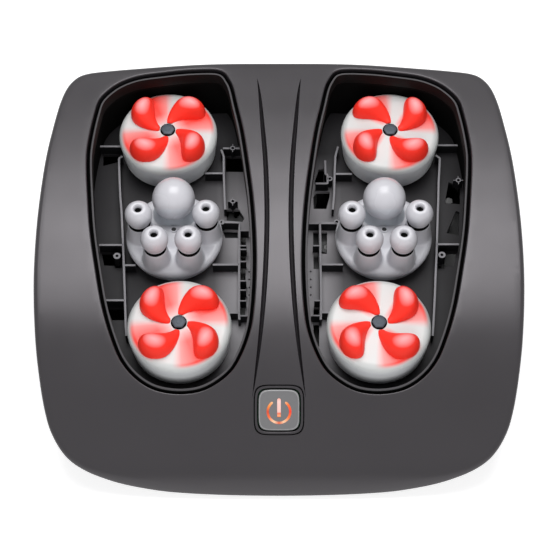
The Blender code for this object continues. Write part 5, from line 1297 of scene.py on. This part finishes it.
half = half_width(MARK_WIDTH, 1 - np.clip(from_end / MARK_END_STEPS, 0, 1))[:, None]
middle = MARK_RADIUS - MARK_WIDTH / 2
lit_strip("power_mark_ring", round_line * (middle + half), round_line * (middle - half), RING_COLOURS,
          (sweep - math.pi / 2) / (2 * math.pi))
bar_line = np.linspace(BAR_LOW, BAR_HIGH, BAR_STEPS)
half = half_width(BAR_WIDTH, np.clip((bar_line - BAR_HIGH) / (BAR_WIDTH / 2) + 1, 0, 1))
lit_strip("power_mark_bar", np.column_stack((-half, bar_line)), np.column_stack((half, bar_line)), BAR_COLOURS,
          bar_line)


# ---- Inlet surround: a black ring pressed into the cover's rear wall round the socket. In the socket's bore the
# plated contact pin stands on a black plug.

SURROUND_INNER = 0.0061
SURROUND_OUTER = 0.0108
SURROUND_PROUD = 0.0006
SURROUND_ROUND = 0.0003
SURROUND_DEPTH = 0.0022
PLUG_Y = 0.1520
PLUG_RADIUS = 0.0030
PLUG_THICKNESS = 0.0020
CONTACT_RADIUS = 0.0008
CONTACT_LENGTH = 0.0165
STEEL = moulded("plated_steel", (0.56, 0.56, 0.57), (0.46, 0.46, 0.47), 0.32, grain=0.0003, Metallic=1.0)


def facing_rear(shape, y, lean=0.0):
    """Lays an upright turned shape on the inlet's axis, its top to the rear and leaning down by an angle."""
    points, faces = shape
    c, s = math.cos(lean), math.sin(lean)
    x, up, out = points[:, 0], points[:, 1], points[:, 2]
    return np.column_stack((x, y + up * s + out * c, INLET_Z + up * c - out * s)), faces


# Sections of the ring, the plug and the pin: radius and depth towards the rear
RIM_SECTION = (
    (SURROUND_INNER, -SURROUND_DEPTH), (SURROUND_INNER, SURROUND_PROUD - SURROUND_ROUND),
    (SURROUND_INNER + SURROUND_ROUND, SURROUND_PROUD), (SURROUND_OUTER - SURROUND_ROUND, SURROUND_PROUD),
    (SURROUND_OUTER, SURROUND_PROUD - SURROUND_ROUND), (SURROUND_OUTER, -SURROUND_DEPTH),
)
PLUG_SECTION = ((0.0, 0.0), (PLUG_RADIUS, 0.0), (PLUG_RADIUS, PLUG_THICKNESS), (0.0, PLUG_THICKNESS))
CONTACT_SECTION = over(PLUG_THICKNESS / 2, (0.0, 0.0), (CONTACT_RADIUS, 0.0))
CONTACT_SECTION += on_arc((0.0, CONTACT_LENGTH), CONTACT_RADIUS, np.linspace(0, math.pi / 2, 7)[:-1])
CONTACT_SECTION += over(CONTACT_LENGTH, (0.0, CONTACT_RADIUS))
low, middle, high = (wall_inset(HALF_DEPTH, INLET_Z + step) for step in (-SURROUND_OUTER, 0.0, SURROUND_OUTER))
surround = facing_rear(spun(RIM_SECTION, 64), HALF_DEPTH - middle, math.atan((low - high) / (2 * SURROUND_OUTER)))
piece("inlet_surround", [surround], TRIM, "inner_plastic")
piece("inlet_plug", [facing_rear(solid_spun(PLUG_SECTION, 32), PLUG_Y)], TRIM, "inner_plastic")
piece("inlet_pin", [facing_rear(solid_spun(CONTACT_SECTION, 24), PLUG_Y)], STEEL, "steel")


# ---- What stays as model.glb gives it: the base pan, the feet, the inlet, the drive under the trays and the board
# under the button. Each gets the finish of its real material.

RUBBER = moulded("black_rubber", (0.020, 0.020, 0.020), (0.030, 0.030, 0.030), 0.8, grain=0.0004, rub=0.08)
ACETAL = moulded("black_acetal", (0.010, 0.010, 0.011), (0.014, 0.014, 0.015), 0.42, Specular_IOR_Level=0.25)
BOARD = moulded("green_circuit_board", (0.02, 0.13, 0.05), (0.03, 0.17, 0.07), 0.45)
HEATER = moulded("amber_heating_film", (0.62, 0.24, 0.08), (0.52, 0.18, 0.06), 0.35)
# What a part's name holds and its finish, the first that fits
FINISHES = (("foot_", RUBBER), ("motor_can", STEEL), ("control_board", BOARD), ("heat_ring", HEATER), ("gear", ACETAL),
            ("idler", ACETAL), ("worm", ACETAL), ("", BLACK))
for name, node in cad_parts.items():
    if not node.hide_render:
        node.data.materials.clear()
        node.data.materials.append(next(finish for word, finish in FINISHES if word in name))
